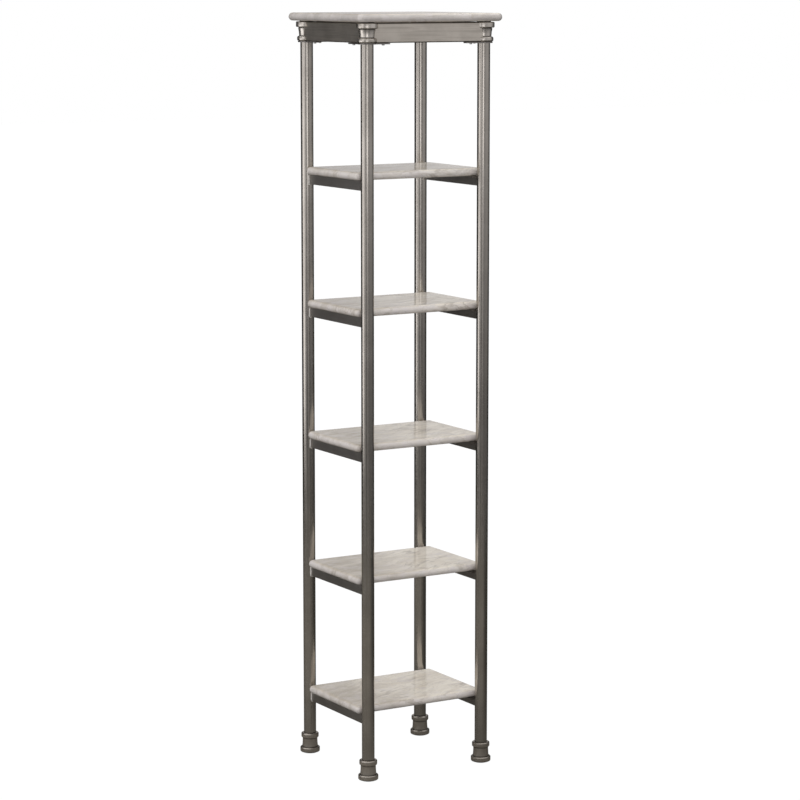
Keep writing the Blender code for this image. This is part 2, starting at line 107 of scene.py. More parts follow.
# Threaded inserts in the tubes' lower ends
INSERT_MOUTH_CHAMFER = 0.0007
INSERT_TOP_CHAMFER = 0.0008
INSERT_FLANGE_EASE = 0.0002
INSERT_GROOVES = (0.30, 0.62)
INSERT_GROOVE_DEPTH = 0.0009
INSERT_GROOVE_HALF_MOUTH = 0.0012
INSERT_GROOVE_HALF_FLOOR = 0.0005

# Plugs in the tubes' upper ends
PLUG_HEAD_EDGE_RADIUS = 0.0005
PLUG_HEAD_STEPS = 4
PLUG_RIBS = 4
PLUG_RIB_PITCH = 0.0027
PLUG_RIB_START = 0.0022
PLUG_RIB_DEPTH = 0.0009
PLUG_RIB_FLOOR = 0.0005
PLUG_TIP_TAPER = 0.0012

# Folded aprons
APRON_SHEET = 0.002
APRON_BEND_RADIUS = 0.001
APRON_LIP = 0.016
APRON_SET_BACK = 0.001
BEND_STEPS = 7

# Angle rails
RAIL_THICKNESS = 0.003
RAIL_HEEL_RADIUS = 0.0006
RAIL_ROOT_RADIUS = 0.0025
RAIL_TOE_RADIUS = 0.0014
RAIL_EDGE_STEPS = 6

# Weld beads round the rails' ends: the bead, then where its path runs
WELD_RADIUS = 0.0027
WELD_RIPPLE = 0.13
WELD_RIPPLE_PITCH = 0.0016
WELD_SPACING = 0.0004
WELD_SIDES = 10
WELD_END_INSET = 0.0004
WELD_OUTSIDE = 0.0009
WELD_INSIDE = 0.0003
WELD_UNDERSIDE = 0.0002
WELD_TOP_INSET = 0.0015
WELD_FOOT_INSET = 0.0010
WELD_ROOT_INSET = 0.0012

# Corner plates and the holes through them
PLATE_ARM_WIDTH = 0.016
PLATE_EDGE_INSET = 0.002
PLATE_HEEL_MARGIN = 0.006
PLATE_BEVEL = 0.0005
PLATE_BEVEL_STEPS = 2
PLATE_BEVEL_ANGLE = 55.0
PLATE_STEPS = 26
HOLE_MARGIN = 0.003
SCREW_HOLE_DEPTH = 0.004

# Screws
SCREW_CORE_RADIUS = 0.0014
SCREW_THREAD_RADIUS = 0.0018
SCREW_THREAD_PITCH = 0.0010
SCREW_THREAD_START = 0.0012
SCREW_THREAD_END = 0.0018
SCREW_HEAD_RADIUS = 0.0035
SCREW_HEAD_CROWN = 0.0011
SCREW_HEAD_CROWN_STEPS = 6
SCREW_HEAD_EASE = 0.0002
SCREW_NECK_LENGTH = 0.0004
SCREW_TIP_LENGTH = 0.0012
SCREW_TIP_RADIUS = 0.0004
SCREW_SLOT_WIDTH = 0.0009
SCREW_SLOT_LENGTH = 0.0042
SCREW_SLOT_DEPTH = 0.0011
SCREW_STEPS = 28

# Studs and their hexagons
STUD_CORE_RADIUS = 0.00335
STUD_THREAD_RADIUS = 0.0040
STUD_THREAD_PITCH = 0.00125
STUD_THREAD_START = 0.0014
STUD_THREAD_END = 0.0022
STUD_FOOT_CHAMFER = 0.0004
STUD_NECK_TAPER = 0.0006
STUD_TIP_CHAMFER = 0.0010
STUD_HEX_FLATS = 0.013
STUD_HEX_HEIGHT = 0.0045
STUD_HEX_CHAMFER = 0.0007
STUD_HEX_CHAMFER_SLOPE = 0.6
STUD_STEPS = 48
THREAD_STEPS = 20
THREAD_SIDES = 4

# Glide pads
PAD_THICKNESS = 0.0032
PAD_EDGE_RADIUS = 0.0009
PAD_EDGE_STEPS = 5
PAD_GROOVE_DEPTH = 0.0003
PAD_GROOVE_OUTSIDE = 0.0035
PAD_GROOVE_INSIDE = 0.0055
PAD_GROOVE_FLANK = 0.0005
PAD_BOSS_RADIUS = 0.0070
PAD_BOSS_FILLET = 0.0004
PAD_BOSS_CHAMFER = 0.0005
PAD_SOCKET_FLOOR = 0.0016
PAD_SOCKET_FLARE = 0.0002
PAD_SOCKET_CHAMFER = 0.0004

# Marble's colours, each pair dark and light, and how much of each shows. The left pair is painted shade on
# the slabs' left side
STONE_SHADED_LEFT = ((0.455, 0.400, 0.330), (0.610, 0.550, 0.475))
STONE_RIGHT = ((0.790, 0.715, 0.610), (0.945, 0.880, 0.775))
# Edge colour: a cooler tint of the stone, darkened with painted shade
NOSE_COLOUR = (0.740, 0.690, 0.670)
# Painted shade on the top slab's edge: its colour, and the heights where it starts and is full
TOP_NOSE_SHADE_COLOUR = (0.480, 0.445, 0.430)
TOP_NOSE_START = 1.86
TOP_NOSE_END = 1.89
LILAC_COLOUR = (0.690, 0.640, 0.640)
LILAC_SHARE = 0.45
VEIN_COLOUR = (0.430, 0.375, 0.320)
VEIN_SHARE = 0.65
HAIR_COLOUR = (0.430, 0.385, 0.340)
HAIR_SHARE = 0.28
CRYSTAL_COLOUR = (0.840, 0.800, 0.755)
CRYSTAL_SHARE = 0.16
STONE_WARP = 0.07
STONE_TURN = (0.30, 0.20, math.radians(21))
STONE_STRETCH = (3.6, 0.85, 1.0)
COAT_ON_NOSE = 0.9

# Patina on the metals, and painted shade in their hollows and along seams
PATINA_SHARE = 0.45
STAIN_SHARE = 0.22
STAIN_SHADE = 0.80
STREAK_COARSENESS = 0.16
HOLLOW_SHADE_COLOUR = (0.020, 0.018, 0.016)
HOLLOW_SHADE_SHARE = 0.93

# Camera, as the photograph was taken
CAMERA_PLACE = (-3.59302, -6.07233, 2.00175)
CAMERA_TURN = -30.7217
CAMERA_PITCH = 8.5753
CAMERA_LENS = 125.68
SENSOR_WIDTH = 36.0
CAMERA_REACH = 200.0

# Studio floor and ambient light
AMBIENT_STRENGTH = 0.80
FLOOR_HALF = 30.0
FLOOR_TONE = 0.20
FLOOR_ROUGHNESS = 0.9
FLOOR_GLOW = 1.23
FLOOR_GLOW_SHARE = 0.8
WHITE = (1.0, 1.0, 1.0, 1.0)

# How the glow of cards and lamp faces fades
CARD_FLOOR_SHARE = 0.24
CARD_FADE_START = 0.1
CARD_FADE_END = 1.8
LAMP_FADE_START = 1.70
LAMP_FADE_END = 1.92
LAMP_FADE_SHARE = 0.72
FLOOR_CARD_ANGLE = 35.0
FLOOR_CARD_FADE = (-0.9, 1.1)
FLOOR_CARD_FAR = (1.6, 3.2)
FLOOR_CARD_FAR_SHARE = 0.45

# Cards round the tower that show only in reflections: first and last angle, brightness and how they fade
CARD_DISTANCE = 3.4
CARD_HEIGHT = 4.5
CARD_STEPS = 12
CARD_TINT = (0.99, 0.98, 1.0)
CARDS = {
    "front_card": (-9.0, 9.0, 0.90, "standing"),
    "left_card": (9.0, 34.0, 0.42, "standing"),
    "left_bright_card": (34.0, 58.0, 1.10, "standing"),
    "left_strip_card": (58.0, 98.0, 0.42, "standing"),
    "left_side_card": (98.0, 133.0, 0.090, "standing"),
    "left_rear_card": (133.0, 171.0, 0.01, "standing"),
    "right_card": (-45.0, -9.0, 0.46, "standing"),
    "right_apron_card": (-92.0, -45.0, 0.56, "standing"),
    "right_side_card": (-120.0, -92.0, 0.28, "standing"),
    "right_rear_card": (-171.0, -120.0, 0.02, "standing"),
    "rear_card": (171.0, 189.0, 0.50, "even"),
}

# The card that lies on the floor
FLOOR_CARD_RADIUS = 3.38
FLOOR_CARD_LIFT = 0.002
FLOOR_CARD_SIDES = 24
FLOOR_CARD_TONE = 0.26
FLOOR_CARD_TINT = (1.0, 0.95, 0.87)


class Wire:
    """A node's output. Sums on wires add Math nodes to the same tree."""

    def __init__(self, tree, socket):
        self.tree = tree
        self.socket = socket

    def __add__(self, other):
        return maths("ADD", self, other)

    __radd__ = __add__

    def __sub__(self, other):
        return maths("SUBTRACT", self, other)

    def __rsub__(self, other):
        return maths("SUBTRACT", other, self)

    def __mul__(self, other):
        return maths("MULTIPLY", self, other)

    __rmul__ = __mul__

    def __truediv__(self, other):
        return maths("DIVIDE", self, other)

    def __rtruediv__(self, other):
        return maths("DIVIDE", other, self)

    def __abs__(self):
        return maths("ABSOLUTE", self)


class Tree:
    """A node tree, with one way to add a node: its type, its settings, and its sockets' values or wires."""

    def __init__(self, nodes):
        self.nodes = nodes

    def add(self, kind, settings=None, sockets=None, out=0):
        node = self.nodes.nodes.new(kind)
        for name, value in (settings or {}).items():
            setattr(node, name, value)
        for name, value in (sockets or {}).items():
            self.feed(node.inputs[name], value)
        return Wire(self, node.outputs[out])

    def feed(self, socket, value):
        if isinstance(value, Wire):
            self.nodes.links.new(value.socket, socket)
        else:
            socket.default_value = value


def maths(operation, *values):
    """One Math node on wires and numbers."""
    tree = next(value.tree for value in values if isinstance(value, Wire))
    return tree.add("ShaderNodeMath", {"operation": operation}, dict(enumerate(values)))


def smooth_step(value, low, high):
    """0 below low, 1 above high, and a smooth rise between them."""
    return value.tree.add(
        "ShaderNodeMapRange", {"interpolation_type": "SMOOTHSTEP"},
        {"Value": value, "From Min": low, "From Max": high})


def vector_maths(operation, first, second, out=0):
    """One Vector Math node."""
    return first.tree.add("ShaderNodeVectorMath", {"operation": operation}, {0: first, 1: second}, out)


def colour_mix(share, first, second):
    """The first colour where share is 0, the second where it is 1."""
    first, second = (colour if isinstance(colour, Wire) else rgba(colour) for colour in (first, second))
    return share.tree.add("ShaderNodeMix", {"data_type": "RGBA"}, {0: share, 6: first, 7: second}, 2)


def noise(point, scale, detail=3.0, roughness=0.5, out="Fac"):
    """Fractal noise at a point."""
    sockets = {"Vector": point, "Scale": scale, "Detail": detail, "Roughness": roughness}
    return point.tree.add("ShaderNodeTexNoise", {}, sockets, out)


def stretched(point, x, y, z):
    """A point with each axis scaled, so that a pattern runs along the axis of the least scale."""
    return vector_maths("MULTIPLY", point, (x, y, z))


def part_of(vector, axis):
    """One of a vector's three parts."""
    return vector.tree.add("ShaderNodeSeparateXYZ", {}, {0: vector}, axis)


def height_of(point):
    """A point's height."""
    return part_of(point, "Z")


def rgba(colour):
    """A colour with its alpha."""
    return (*colour, 1.0)


def new_finish(name, **constants):
    """A material with its constants set on the shader, its tree and the point that its patterns read."""
    material = bpy.data.materials.new(name)
    material.use_nodes = True
    tree = Tree(material.node_tree)
    shader = material.node_tree.nodes["Principled BSDF"]
    for socket, value in constants.items():
        shader.inputs[socket.replace("_", " ")].default_value = value
    point = tree.add("ShaderNodeTexCoord", {}, {}, "Object")
    return material, tree, shader, point


def add_bump(tree, shader, height, strength, distance):
    """Let a height pattern turn the surface's normal."""
    sockets = {"Strength": strength, "Distance": distance, "Height": height}
    tree.feed(shader.inputs["Normal"], tree.add("ShaderNodeBump", {}, sockets))


def marble_finish():
    """Polished stone: painted shade on the slabs' left side, cooler edges darkened with painted shade and the
    top slab's edge most, slanting clouds and veins, lilac patches and crystal grain.
    """
    material, tree, shader, point = new_finish(
        "polished_marble", Metallic=0.0, Specular_IOR_Level=0.16, Coat_Roughness=0.12)
    warp = vector_maths("SUBTRACT", noise(point, 6.0, out="Color"), (0.5, 0.5, 0.5))
    bent = vector_maths("ADD", point, stretched(warp, STONE_WARP, STONE_WARP, STONE_WARP))
    slanted = tree.add(
        "ShaderNodeMapping", {"vector_type": "TEXTURE"},
        {"Vector": bent, "Rotation": STONE_TURN, "Scale": STONE_STRETCH})
    # Painted shade: the slabs darken towards their left side
    beyond_left_shade = smooth_step(part_of(point, "X") + 0.25 * (noise(bent, 5.0) - 0.5), -0.18, 0.05)
    clouds = smooth_step(noise(slanted, 26.0, 5.0, 0.60), 0.34, 0.66)
    lilac = smooth_step(noise(bent, 34.0, 4.0, 0.6), 0.46, 0.68)
    veins = 1.0 - smooth_step(abs(noise(slanted, 18.0, 4.0, 0.55) - 0.5), 0.0, 0.045)
    veins = veins * smooth_step(noise(bent, 10.0, 2.0), 0.40, 0.62)
    hairs = 1.0 - smooth_step(abs(noise(slanted, 46.0) - 0.5), 0.0, 0.030)
    grain = noise(point, 380.0, 3.0, 0.65)
    upward = part_of(tree.add("ShaderNodeNewGeometry", {}, {}, "Normal"), "Z")
    nose = 1.0 - smooth_step(abs(upward), 0.55, 0.97)
    # Painted shade: the top slab's edge is darkened further
    top_nose_shade = nose * (smooth_step(height_of(point), TOP_NOSE_START, TOP_NOSE_END) * (0.85 - 0.40 * clouds))
    dark, light = (colour_mix(beyond_left_shade, left, right) for left, right in zip(STONE_SHADED_LEFT, STONE_RIGHT))
    colour = colour_mix(clouds, dark, light)
    # Painted shade: the rounded edges take the cooler, darker edge colour
    colour = colour_mix(nose * (0.45 + 0.40 * clouds), colour, NOSE_COLOUR)
    colour = colour_mix(top_nose_shade, colour, TOP_NOSE_SHADE_COLOUR)
    colour = colour_mix(lilac * LILAC_SHARE, colour, LILAC_COLOUR)
    colour = colour_mix(veins * VEIN_SHARE, colour, VEIN_COLOUR)
    colour = colour_mix(hairs * HAIR_SHARE, colour, HAIR_COLOUR)
    colour = colour_mix(smooth_step(grain, 0.35, 0.75) * CRYSTAL_SHARE, colour, CRYSTAL_COLOUR)
    tree.feed(shader.inputs["Base Color"], colour)
    tree.feed(shader.inputs["Roughness"], 0.10 + 0.06 * grain + 0.06 * veins)
    tree.feed(shader.inputs["Coat Weight"], nose * COAT_ON_NOSE)
    add_bump(tree, shader, noise(point, 50.0) + 0.2 * grain, 1.0, 0.000015)
    return material


def metal_finish(
        name, light, dark, grain_scale, roughness, grain_depth=0.00002, seams=(), seam_reach=0.003,
        streak_share=0.30):
    """Satin metal: a grain along the axis of the least scale, a mottled patina, and painted shade in hollows
    and along seams.
    """
    material, tree, shader, point = new_finish(name, Metallic=1.0)
    grain = noise(stretched(point, *grain_scale), 1.0, 3.0, 0.55)
    streak = noise(stretched(point, *[scale * STREAK_COARSENESS for scale in grain_scale]), 1.0, 2.0)
    mottle = smooth_step(noise(point, 17.0, 4.0, 0.55), 0.32, 0.70)
    stain = smooth_step(noise(point, 8.0), 0.45, 0.72)
    # Painted shade: how deep in a hollow or how near a seam each point lies
    hollow = tree.add("ShaderNodeAttribute", {"attribute_name": "hollow"}, {}, "Fac")
    for seam in seams:
        hollow = maths("MAXIMUM", hollow, 1.0 - smooth_step(abs(height_of(point) - seam), 0.0, seam_reach))
    colour = colour_mix(mottle * PATINA_SHARE, light, dark)
    colour = colour_mix(smooth_step(streak, 0.42, 0.72) * streak_share, colour, dark)
    colour = colour_mix(stain * STAIN_SHARE, colour, [tone * STAIN_SHADE for tone in dark])
    # Painted shade: hollows and seams darkened almost to black
    colour = colour_mix(hollow * HOLLOW_SHADE_SHARE, colour, HOLLOW_SHADE_COLOUR)
    tree.feed(shader.inputs["Base Color"], colour)
    tree.feed(shader.inputs["Roughness"], roughness - 0.04 + 0.08 * grain + 0.05 * stain + 0.25 * hollow)
    add_bump(tree, shader, streak, 1.0, grain_depth)
    return material


def rubber_finish():
    """Black rubber with a fine tooth and dusty flecks."""
    material, tree, shader, point = new_finish("black_rubber_pad", Metallic=0.0)
    tooth = noise(point, 1500.0, 3.0, 0.6)
    dust = smooth_step(noise(point, 160.0, 5.0, 0.65), 0.52, 0.76)
    tree.feed(
        shader.inputs["Base Color"],
        colour_mix(dust * 0.35, (0.018, 0.018, 0.018), (0.085, 0.080, 0.074)))
    tree.feed(shader.inputs["Roughness"], 0.62 + 0.25 * tooth)
    add_bump(tree, shader, tooth, 0.25, 0.0002)
    return material


def plastic_finish():
    """Black moulded plastic with a satin spark grain."""
    material, tree, shader, point = new_finish("black_moulding", Metallic=0.0)
    spark = noise(point, 2600.0, 2.0)
    flow = noise(point, 45.0)
    tree.feed(
        shader.inputs["Base Color"],
        colour_mix(flow * 0.5, (0.022, 0.022, 0.023), (0.045, 0.044, 0.043)))
    tree.feed(shader.inputs["Roughness"], 0.42 + 0.2 * spark)
    add_bump(tree, shader, spark, 0.2, 0.0001)
    return material


def arc(centre, radius, start, end, steps):
    """Points along a circle, with its angles in degrees."""
    points = []
    for step in range(steps + 1):
        angle = math.radians(start + (end - start) * step / steps)
        points.append((centre[0] + radius * math.cos(angle), centre[1] + radius * math.sin(angle)))
    return points


def without_doubles(points):
    """A closed outline without points that lie on each other."""
    kept = []
    for point in points:
        if not kept or math.dist(point, kept[-1]) > MERGE:
            kept.append(point)
    if math.dist(kept[0], kept[-1]) <= MERGE:
        kept.pop()
    return kept


def new_object(name, mesh):
    """Put a mesh in the scene under a name."""
    piece = bpy.data.objects.new(name, mesh)
    bpy.context.scene.collection.objects.link(piece)
    return piece


def fill_mesh(bm, mesh, least):
    """Write a bmesh into a mesh, with what lies together merged and the faces pointing outwards."""
    bmesh.ops.remove_doubles(bm, verts=bm.verts, dist=least)
    bmesh.ops.recalc_face_normals(bm, faces=bm.faces)
    bm.to_mesh(mesh)
    bm.free()
    return mesh


def mesh_from(bm, name):
    """Turn a bmesh into a mesh of its own."""
    return fill_mesh(bm, bpy.data.meshes.new(name), FINE_MERGE)


def shade(mesh, angle):
    """Smooth shading with its sharp edges kept."""
    mesh.shade_smooth()
    mesh.set_sharp_from_angle(angle=math.radians(angle))


def skin(loops, name, closed=False):
    """Join loops of points into one solid, capped at both ends unless it closes on itself."""
    bm = bmesh.new()
    rows = [[bm.verts.new(point) for point in loop] for loop in loops]
    pairs = list(zip(rows, rows[1:]))
    if closed:
        pairs.append((rows[-1], rows[0]))
    for lower, upper in pairs:
        for i in range(len(lower)):
            bm.faces.new((lower[i - 1], lower[i], upper[i], upper[i - 1]))
    if not closed:
        bm.faces.new(rows[0])
        bm.faces.new(rows[-1])
    return mesh_from(bm, name)


def evaluated_mesh(piece):
    """The mesh that a piece's modifiers give. The modifiers are then removed."""
    bpy.context.view_layer.update()
    graph = bpy.context.evaluated_depsgraph_get()
    mesh = bpy.data.meshes.new_from_object(piece.evaluated_get(graph), depsgraph=graph)
    piece.modifiers.clear()
    return mesh


def cut(piece, cutter):
    """Take a cutter's shape out of a piece."""
    modifier = piece.modifiers.new("cut", "BOOLEAN")
    modifier.operation = "DIFFERENCE"
    modifier.solver = "EXACT"
    modifier.object = cutter
    piece.data = evaluated_mesh(piece)


def node_group(name, inputs):
    """A geometry tree with named inputs, its wires by name, and the identifiers of its inputs."""
    group = bpy.data.node_groups.new(name, "GeometryNodeTree")
    group.interface.new_socket("Geometry", in_out="INPUT", socket_type="NodeSocketGeometry")
    identifiers = {}
    for label, kind in inputs:
        item = group.interface.new_socket(label, in_out="INPUT", socket_type="NodeSocket" + kind)
        identifiers[label] = item.identifier
    group.interface.new_socket("Geometry", in_out="OUTPUT", socket_type="NodeSocketGeometry")
    tree = Tree(group)
    source = group.nodes.new("NodeGroupInput")
    wires = {socket.name: Wire(tree, socket) for socket in source.outputs if socket.name}
    return tree, wires, identifiers


def end_tree(tree, geometry, material):
    """Realize what is instanced, give it its material and send it out."""
    real = tree.add("GeometryNodeRealizeInstances", {}, {0: geometry})
    done = tree.add("GeometryNodeSetMaterial", {}, {"Geometry": real, "Material": material})
    sink = tree.nodes.nodes.new("NodeGroupOutput")
    tree.feed(sink.inputs[0], done)


def grown(base, recipe, values):
    """The mesh that a geometry tree makes from a base mesh and its inputs' values."""
    tree, identifiers = recipe
    carrier = new_object("carrier", base)
    modifier = carrier.modifiers.new("recipe", "NODES")
    modifier.node_group = tree.nodes
    for label, value in values.items():
        modifier[identifiers[label]] = value
    mesh = evaluated_mesh(carrier)
    bpy.data.objects.remove(carrier)
    return mesh


def round_path(tree, steps):
    """A circle of radius 1 as a curve."""
    return tree.add("GeometryNodeCurvePrimitiveCircle", {"mode": "RADIUS"}, {0: steps, "Radius": 1.0})


def swept(tree, path, profile, scale=None):
    """A profile run along a path. Given a scale, it is sized along the path and its ends are capped."""
    sockets = {"Curve": path, "Profile Curve": profile}
    if scale is not None:
        sockets.update({"Scale": scale, "Fill Caps": True})
    return tree.add("GeometryNodeCurveToMesh", {}, sockets)


def turning_recipe():
    """Turns a section of radius and height, drawn flat, right round an upright axis."""
    tree, wires, identifiers = node_group("turning", [("Steps Round", "Int"), ("Material", "Material")])
    section = tree.add("GeometryNodeMeshToCurve", {}, {"Mesh": wires["Geometry"]})
    turned = swept(tree, round_path(tree, wires["Steps Round"]), section)
    whole = tree.add("GeometryNodeMergeByDistance", {}, {"Geometry": turned, "Distance": TURNED_MERGE})
    end_tree(tree, whole, wires["Material"])
    return tree, identifiers


def welding_recipe():
    """A rippled bead of weld along each path."""
    tree, wires, identifiers = node_group(
        "welding",
        [("Bead Radius", "Float"), ("Ripple", "Float"), ("Ripple Pitch", "Float"), ("Spacing", "Float"),
         ("Sides", "Int"), ("Material", "Material")])
    path = tree.add("GeometryNodeMeshToCurve", {}, {"Mesh": wires["Geometry"]})
    path = tree.add(
        "GeometryNodeResampleCurve", {"mode": "LENGTH"}, {"Curve": path, "Length": wires["Spacing"]})
    along = tree.add("GeometryNodeSplineParameter", {}, {}, "Length")
    wave = maths("SINE", along / wires["Ripple Pitch"] * math.tau)
    radius = wires["Bead Radius"] * (1.0 + wires["Ripple"] * wave)
    bead = swept(tree, path, round_path(tree, wires["Sides"]), radius)
    end_tree(tree, bead, wires["Material"])
    return tree, identifiers


def threading_recipe():
    """A ridge that winds up round each core as its thread, added to the core's mesh."""
    tree, wires, identifiers = node_group(
        "threading",
        [("Core Radius", "Float"), ("Thread Radius", "Float"), ("Pitch", "Float"), ("Length", "Float"),
         ("Start", "Float"), ("Material", "Material")])
    turns = wires["Length"] / wires["Pitch"]
    spiral = tree.add(
        "GeometryNodeCurveSpiral", {},
        {"Resolution": THREAD_STEPS, "Rotations": turns, "Start Radius": wires["Core Radius"],
         "End Radius": wires["Core Radius"], "Height": wires["Length"]})
    depth = wires["Thread Radius"] - wires["Core Radius"]
    wound = swept(tree, spiral, round_path(tree, THREAD_SIDES), depth)
    start = tree.add("ShaderNodeCombineXYZ", {}, {"Z": wires["Start"]})
    lifted = tree.add("GeometryNodeSetPosition", {}, {"Geometry": wound, "Offset": start})
    joined = tree.nodes.nodes.new("GeometryNodeJoinGeometry")
    for part in (wires["Geometry"], lifted):
        tree.feed(joined.inputs[0], part)
    end_tree(tree, Wire(tree, joined.outputs[0]), wires["Material"])
    return tree, identifiers


def setting_out_recipe():
    """One fastener at each point."""
    tree, wires, identifiers = node_group("setting_out", [("Fastener", "Object"), ("Material", "Material")])
    fastener = tree.add("GeometryNodeObjectInfo", {}, {"Object": wires["Fastener"]}, "Geometry")
    row = tree.add("GeometryNodeInstanceOnPoints", {}, {"Points": wires["Geometry"], "Instance": fastener})
    end_tree(tree, row, wires["Material"])
    return tree, identifiers


def line_mesh(name, paths, closed=False):
    """Points joined by edges into one or more lines."""
    verts, edges = [], []
    for path in paths:
        first = len(verts)
        verts += path
        edges += [(first + i, first + i + 1) for i in range(len(path) - 1)]
        if closed:
            edges.append((len(verts) - 1, first))
    mesh = bpy.data.meshes.new(name)
    mesh.from_pydata(verts, edges, [])
    return mesh


def turned_mesh(name, outline, finish, closed=True, steps=TURNED_STEPS):
    """A turned solid from its section. An open section starts and ends on the axis."""
    points = without_doubles(outline)
    flat = [(radius - 1.0, -height, 0.0) for radius, height in points]
    base = line_mesh(name, [flat], closed)
    mesh = grown(base, RECIPES["turning"], {"Steps Round": steps, "Material": finish})
    return tidy_mesh(mesh)


def mark_hollows(mesh, outline):
    """Store how deep in a hollow of its section each point of a turned mesh lies, for the painted shade in
    the hollows.
    """
    area = sum(a[0] * b[1] - b[0] * a[1] for a, b in zip(outline, outline[1:] + outline[:1]))
    hollows = []
    for before, here, after in zip(outline[-1:] + outline[:-1], outline, outline[1:] + outline[:1]):
        turn = math.atan2(after[1] - here[1], after[0] - here[0])
        turn -= math.atan2(here[1] - before[1], here[0] - before[0])
        turn = (turn + math.pi) % math.tau - math.pi
        if math.copysign(1.0, area) * turn < -HOLLOW_TURN:
            hollows.append(here)
    marks = mesh.attributes.new("hollow", "FLOAT", "POINT")
    for vertex, mark in zip(mesh.vertices, marks.data):
        spot = (math.hypot(vertex.co.x, vertex.co.y), vertex.co.z)
        nearest = min((math.dist(spot, hollow) for hollow in hollows), default=HOLLOW_REACH)
        mark.value = max(0.0, 1.0 - nearest / HOLLOW_REACH)
    return mesh


def tidy_mesh(mesh):
    """Merge what lies together in a mesh and point its faces outwards."""
    bm = bmesh.new()
    bm.from_mesh(mesh)
    return fill_mesh(bm, mesh, MERGE)


def joined_mesh(name, meshes):
    """Several meshes as one."""
    bm = bmesh.new()
    for mesh in meshes:
        bm.from_mesh(mesh)
    whole = bpy.data.meshes.new(name)
    bm.to_mesh(whole)
    bm.free()
    return whole


def moved_copy(mesh, place):
    """A copy of a mesh with another place in it."""
    copy = mesh.copy()
    copy.transform(Matrix.Translation(place))
    return copy


def dress(name, mesh, finish, nodes, body="frame", angle=SHARP_ANGLE):
    """Make a finished piece that stands for its CAD nodes and rides on their body."""
    mesh.materials.clear()
    mesh.materials.append(FINISHES[finish])
    shade(mesh, angle)
    piece = new_object(name, mesh)
    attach(piece, body)
    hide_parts(*nodes)
    return piece


def inward(corner, along_x, along_y):
    """A point in plan, measured from a leg's axis towards the middle."""
    side_x, side_y = CORNERS[corner]
    axis = leg_axes[corner]
    return axis.x - side_x * along_x, axis.y - side_y * along_y


def plan_middle(node):
    """The middle of a node's box in plan."""
    low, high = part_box(node)
    return (low.x + high.x) / 2, (low.y + high.y) / 2


def rounded_rectangle(length, depth, radius):
    """A rectangle in plan with rounded corners."""
    outline = []
    for side_x, side_y, start in ((1, 1, 0), (-1, 1, 90), (-1, -1, 180), (1, -1, 270)):
        centre = (side_x * (length / 2 - radius), side_y * (depth / 2 - radius))
        outline += arc(centre, radius, start, start + 90, CORNER_STEPS)
    return outline


def dress_slab(name, node, corner_radius):
    """A marble slab with a full round nose, in its node's box."""
    low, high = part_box(node)
    length, depth, thickness = high - low
    nose = thickness / 2
    profile = [(nose + FACE_INSET, -thickness)]
    profile += [(nose - across, height) for across, height in arc((0.0, -nose), nose, -90, 90, NOSE_STEPS)]
    profile.append((nose + FACE_INSET, 0.0))
    loops = []
    for inset, height in profile:
        radius = max(corner_radius - inset, LEAST_CORNER_RADIUS)
        outline = rounded_rectangle(length - 2 * inset, depth - 2 * inset, radius)
        loops.append([(x, y, high.z + height) for x, y in outline])
    dress(name, skin(loops, name), "marble", [node])


def turned_ring(inner_top, inner_bottom, outer, top, bottom, edge):
    """The side of a raised ring from top to bottom, rounded at both edges."""
    depth = outer - max(inner_top, inner_bottom)
    edge = min(edge, (top - bottom) * LARGEST_EDGE_SHARE, depth * 2 * LARGEST_EDGE_SHARE)
    upper = arc((outer - edge, top - edge), edge, 90, 0, EDGE_STEPS)
    lower = arc((outer - edge, bottom + edge), edge, 0, -90, EDGE_STEPS)
    return [(inner_top, top)] + upper + lower + [(inner_bottom, bottom)]


def flare(top_radius, top, foot_radius, bottom):
    """A hollow curve, upright at its thinner end."""
    points = []
    for step in range(FLARE_STEPS + 1):
        share = step / FLARE_STEPS
        bend = share ** 2 if foot_radius > top_radius else 1 - (1 - share) ** 2
        points.append((top_radius + (foot_radius - top_radius) * bend, top + (bottom - top) * share))
    return points


def capital_side(growth=0.0):
    """The capital's outer side from top to bottom, grown by a clearance for what is coped round it."""
    neck_top = tube_radius + NECK_TOP_PROJECTION + growth
    neck_foot = tube_radius + NECK_FOOT_PROJECTION + growth
    groove = neck_top - GROOVE_DEPTH
    neck_start = -BAND_HEIGHT - GROOVE_WIDTH + growth
    ring_top = CAPITAL_RING_HEIGHT - apron_height + growth
    side = turned_ring(
        bore_radius, groove, band_radius + growth, growth, -BAND_HEIGHT - growth, BAND_EDGE_RADIUS + growth)
    side.append((groove, neck_start))
    side += flare(neck_top, neck_start, neck_foot, ring_top)
    side += turned_ring(
        neck_foot, bore_radius, tube_radius + CAPITAL_RING_PROJECTION + growth,
        ring_top, -apron_height - growth, CAPITAL_RING_EDGE_RADIUS + growth)[1:]
    return side


def foot_section():
    """The foot's outer side, then its glide recess, well, web and tube socket."""
    waist_top = tube_radius + WAIST_TOP_PROJECTION
    waist_foot = tube_radius + WAIST_FOOT_PROJECTION
    bead_bottom = foot_top - BEAD_HEIGHT
    ring_top = foot_bottom + FOOT_RING_HEIGHT
    bead = turned_ring(
        bore_radius, waist_top, tube_radius + BEAD_PROJECTION, foot_top, bead_bottom, BEAD_EDGE_RADIUS)
    waist = flare(waist_top, bead_bottom, waist_foot, ring_top)
    ring = turned_ring(waist_foot, recess_radius, foot_radius, ring_top, foot_bottom, FOOT_RING_EDGE_RADIUS)
    inside = [
        (recess_radius, glide_ceiling),
        (well_radius, glide_ceiling),
        (well_radius, well_top),
        (stud_bore_radius, well_top),
        (stud_bore_radius, foot_shoulder),
        (bore_radius, foot_shoulder),
    ]
    return bead + waist[1:] + ring[1:] + inside


def dress_turned(node, mesh, finish, body="frame"):
    """One turned piece in place of its node."""
    x, y = plan_middle(node)
    dress("turned_" + node, moved_copy(mesh, (x, y, 0.0)), finish, [node], body)


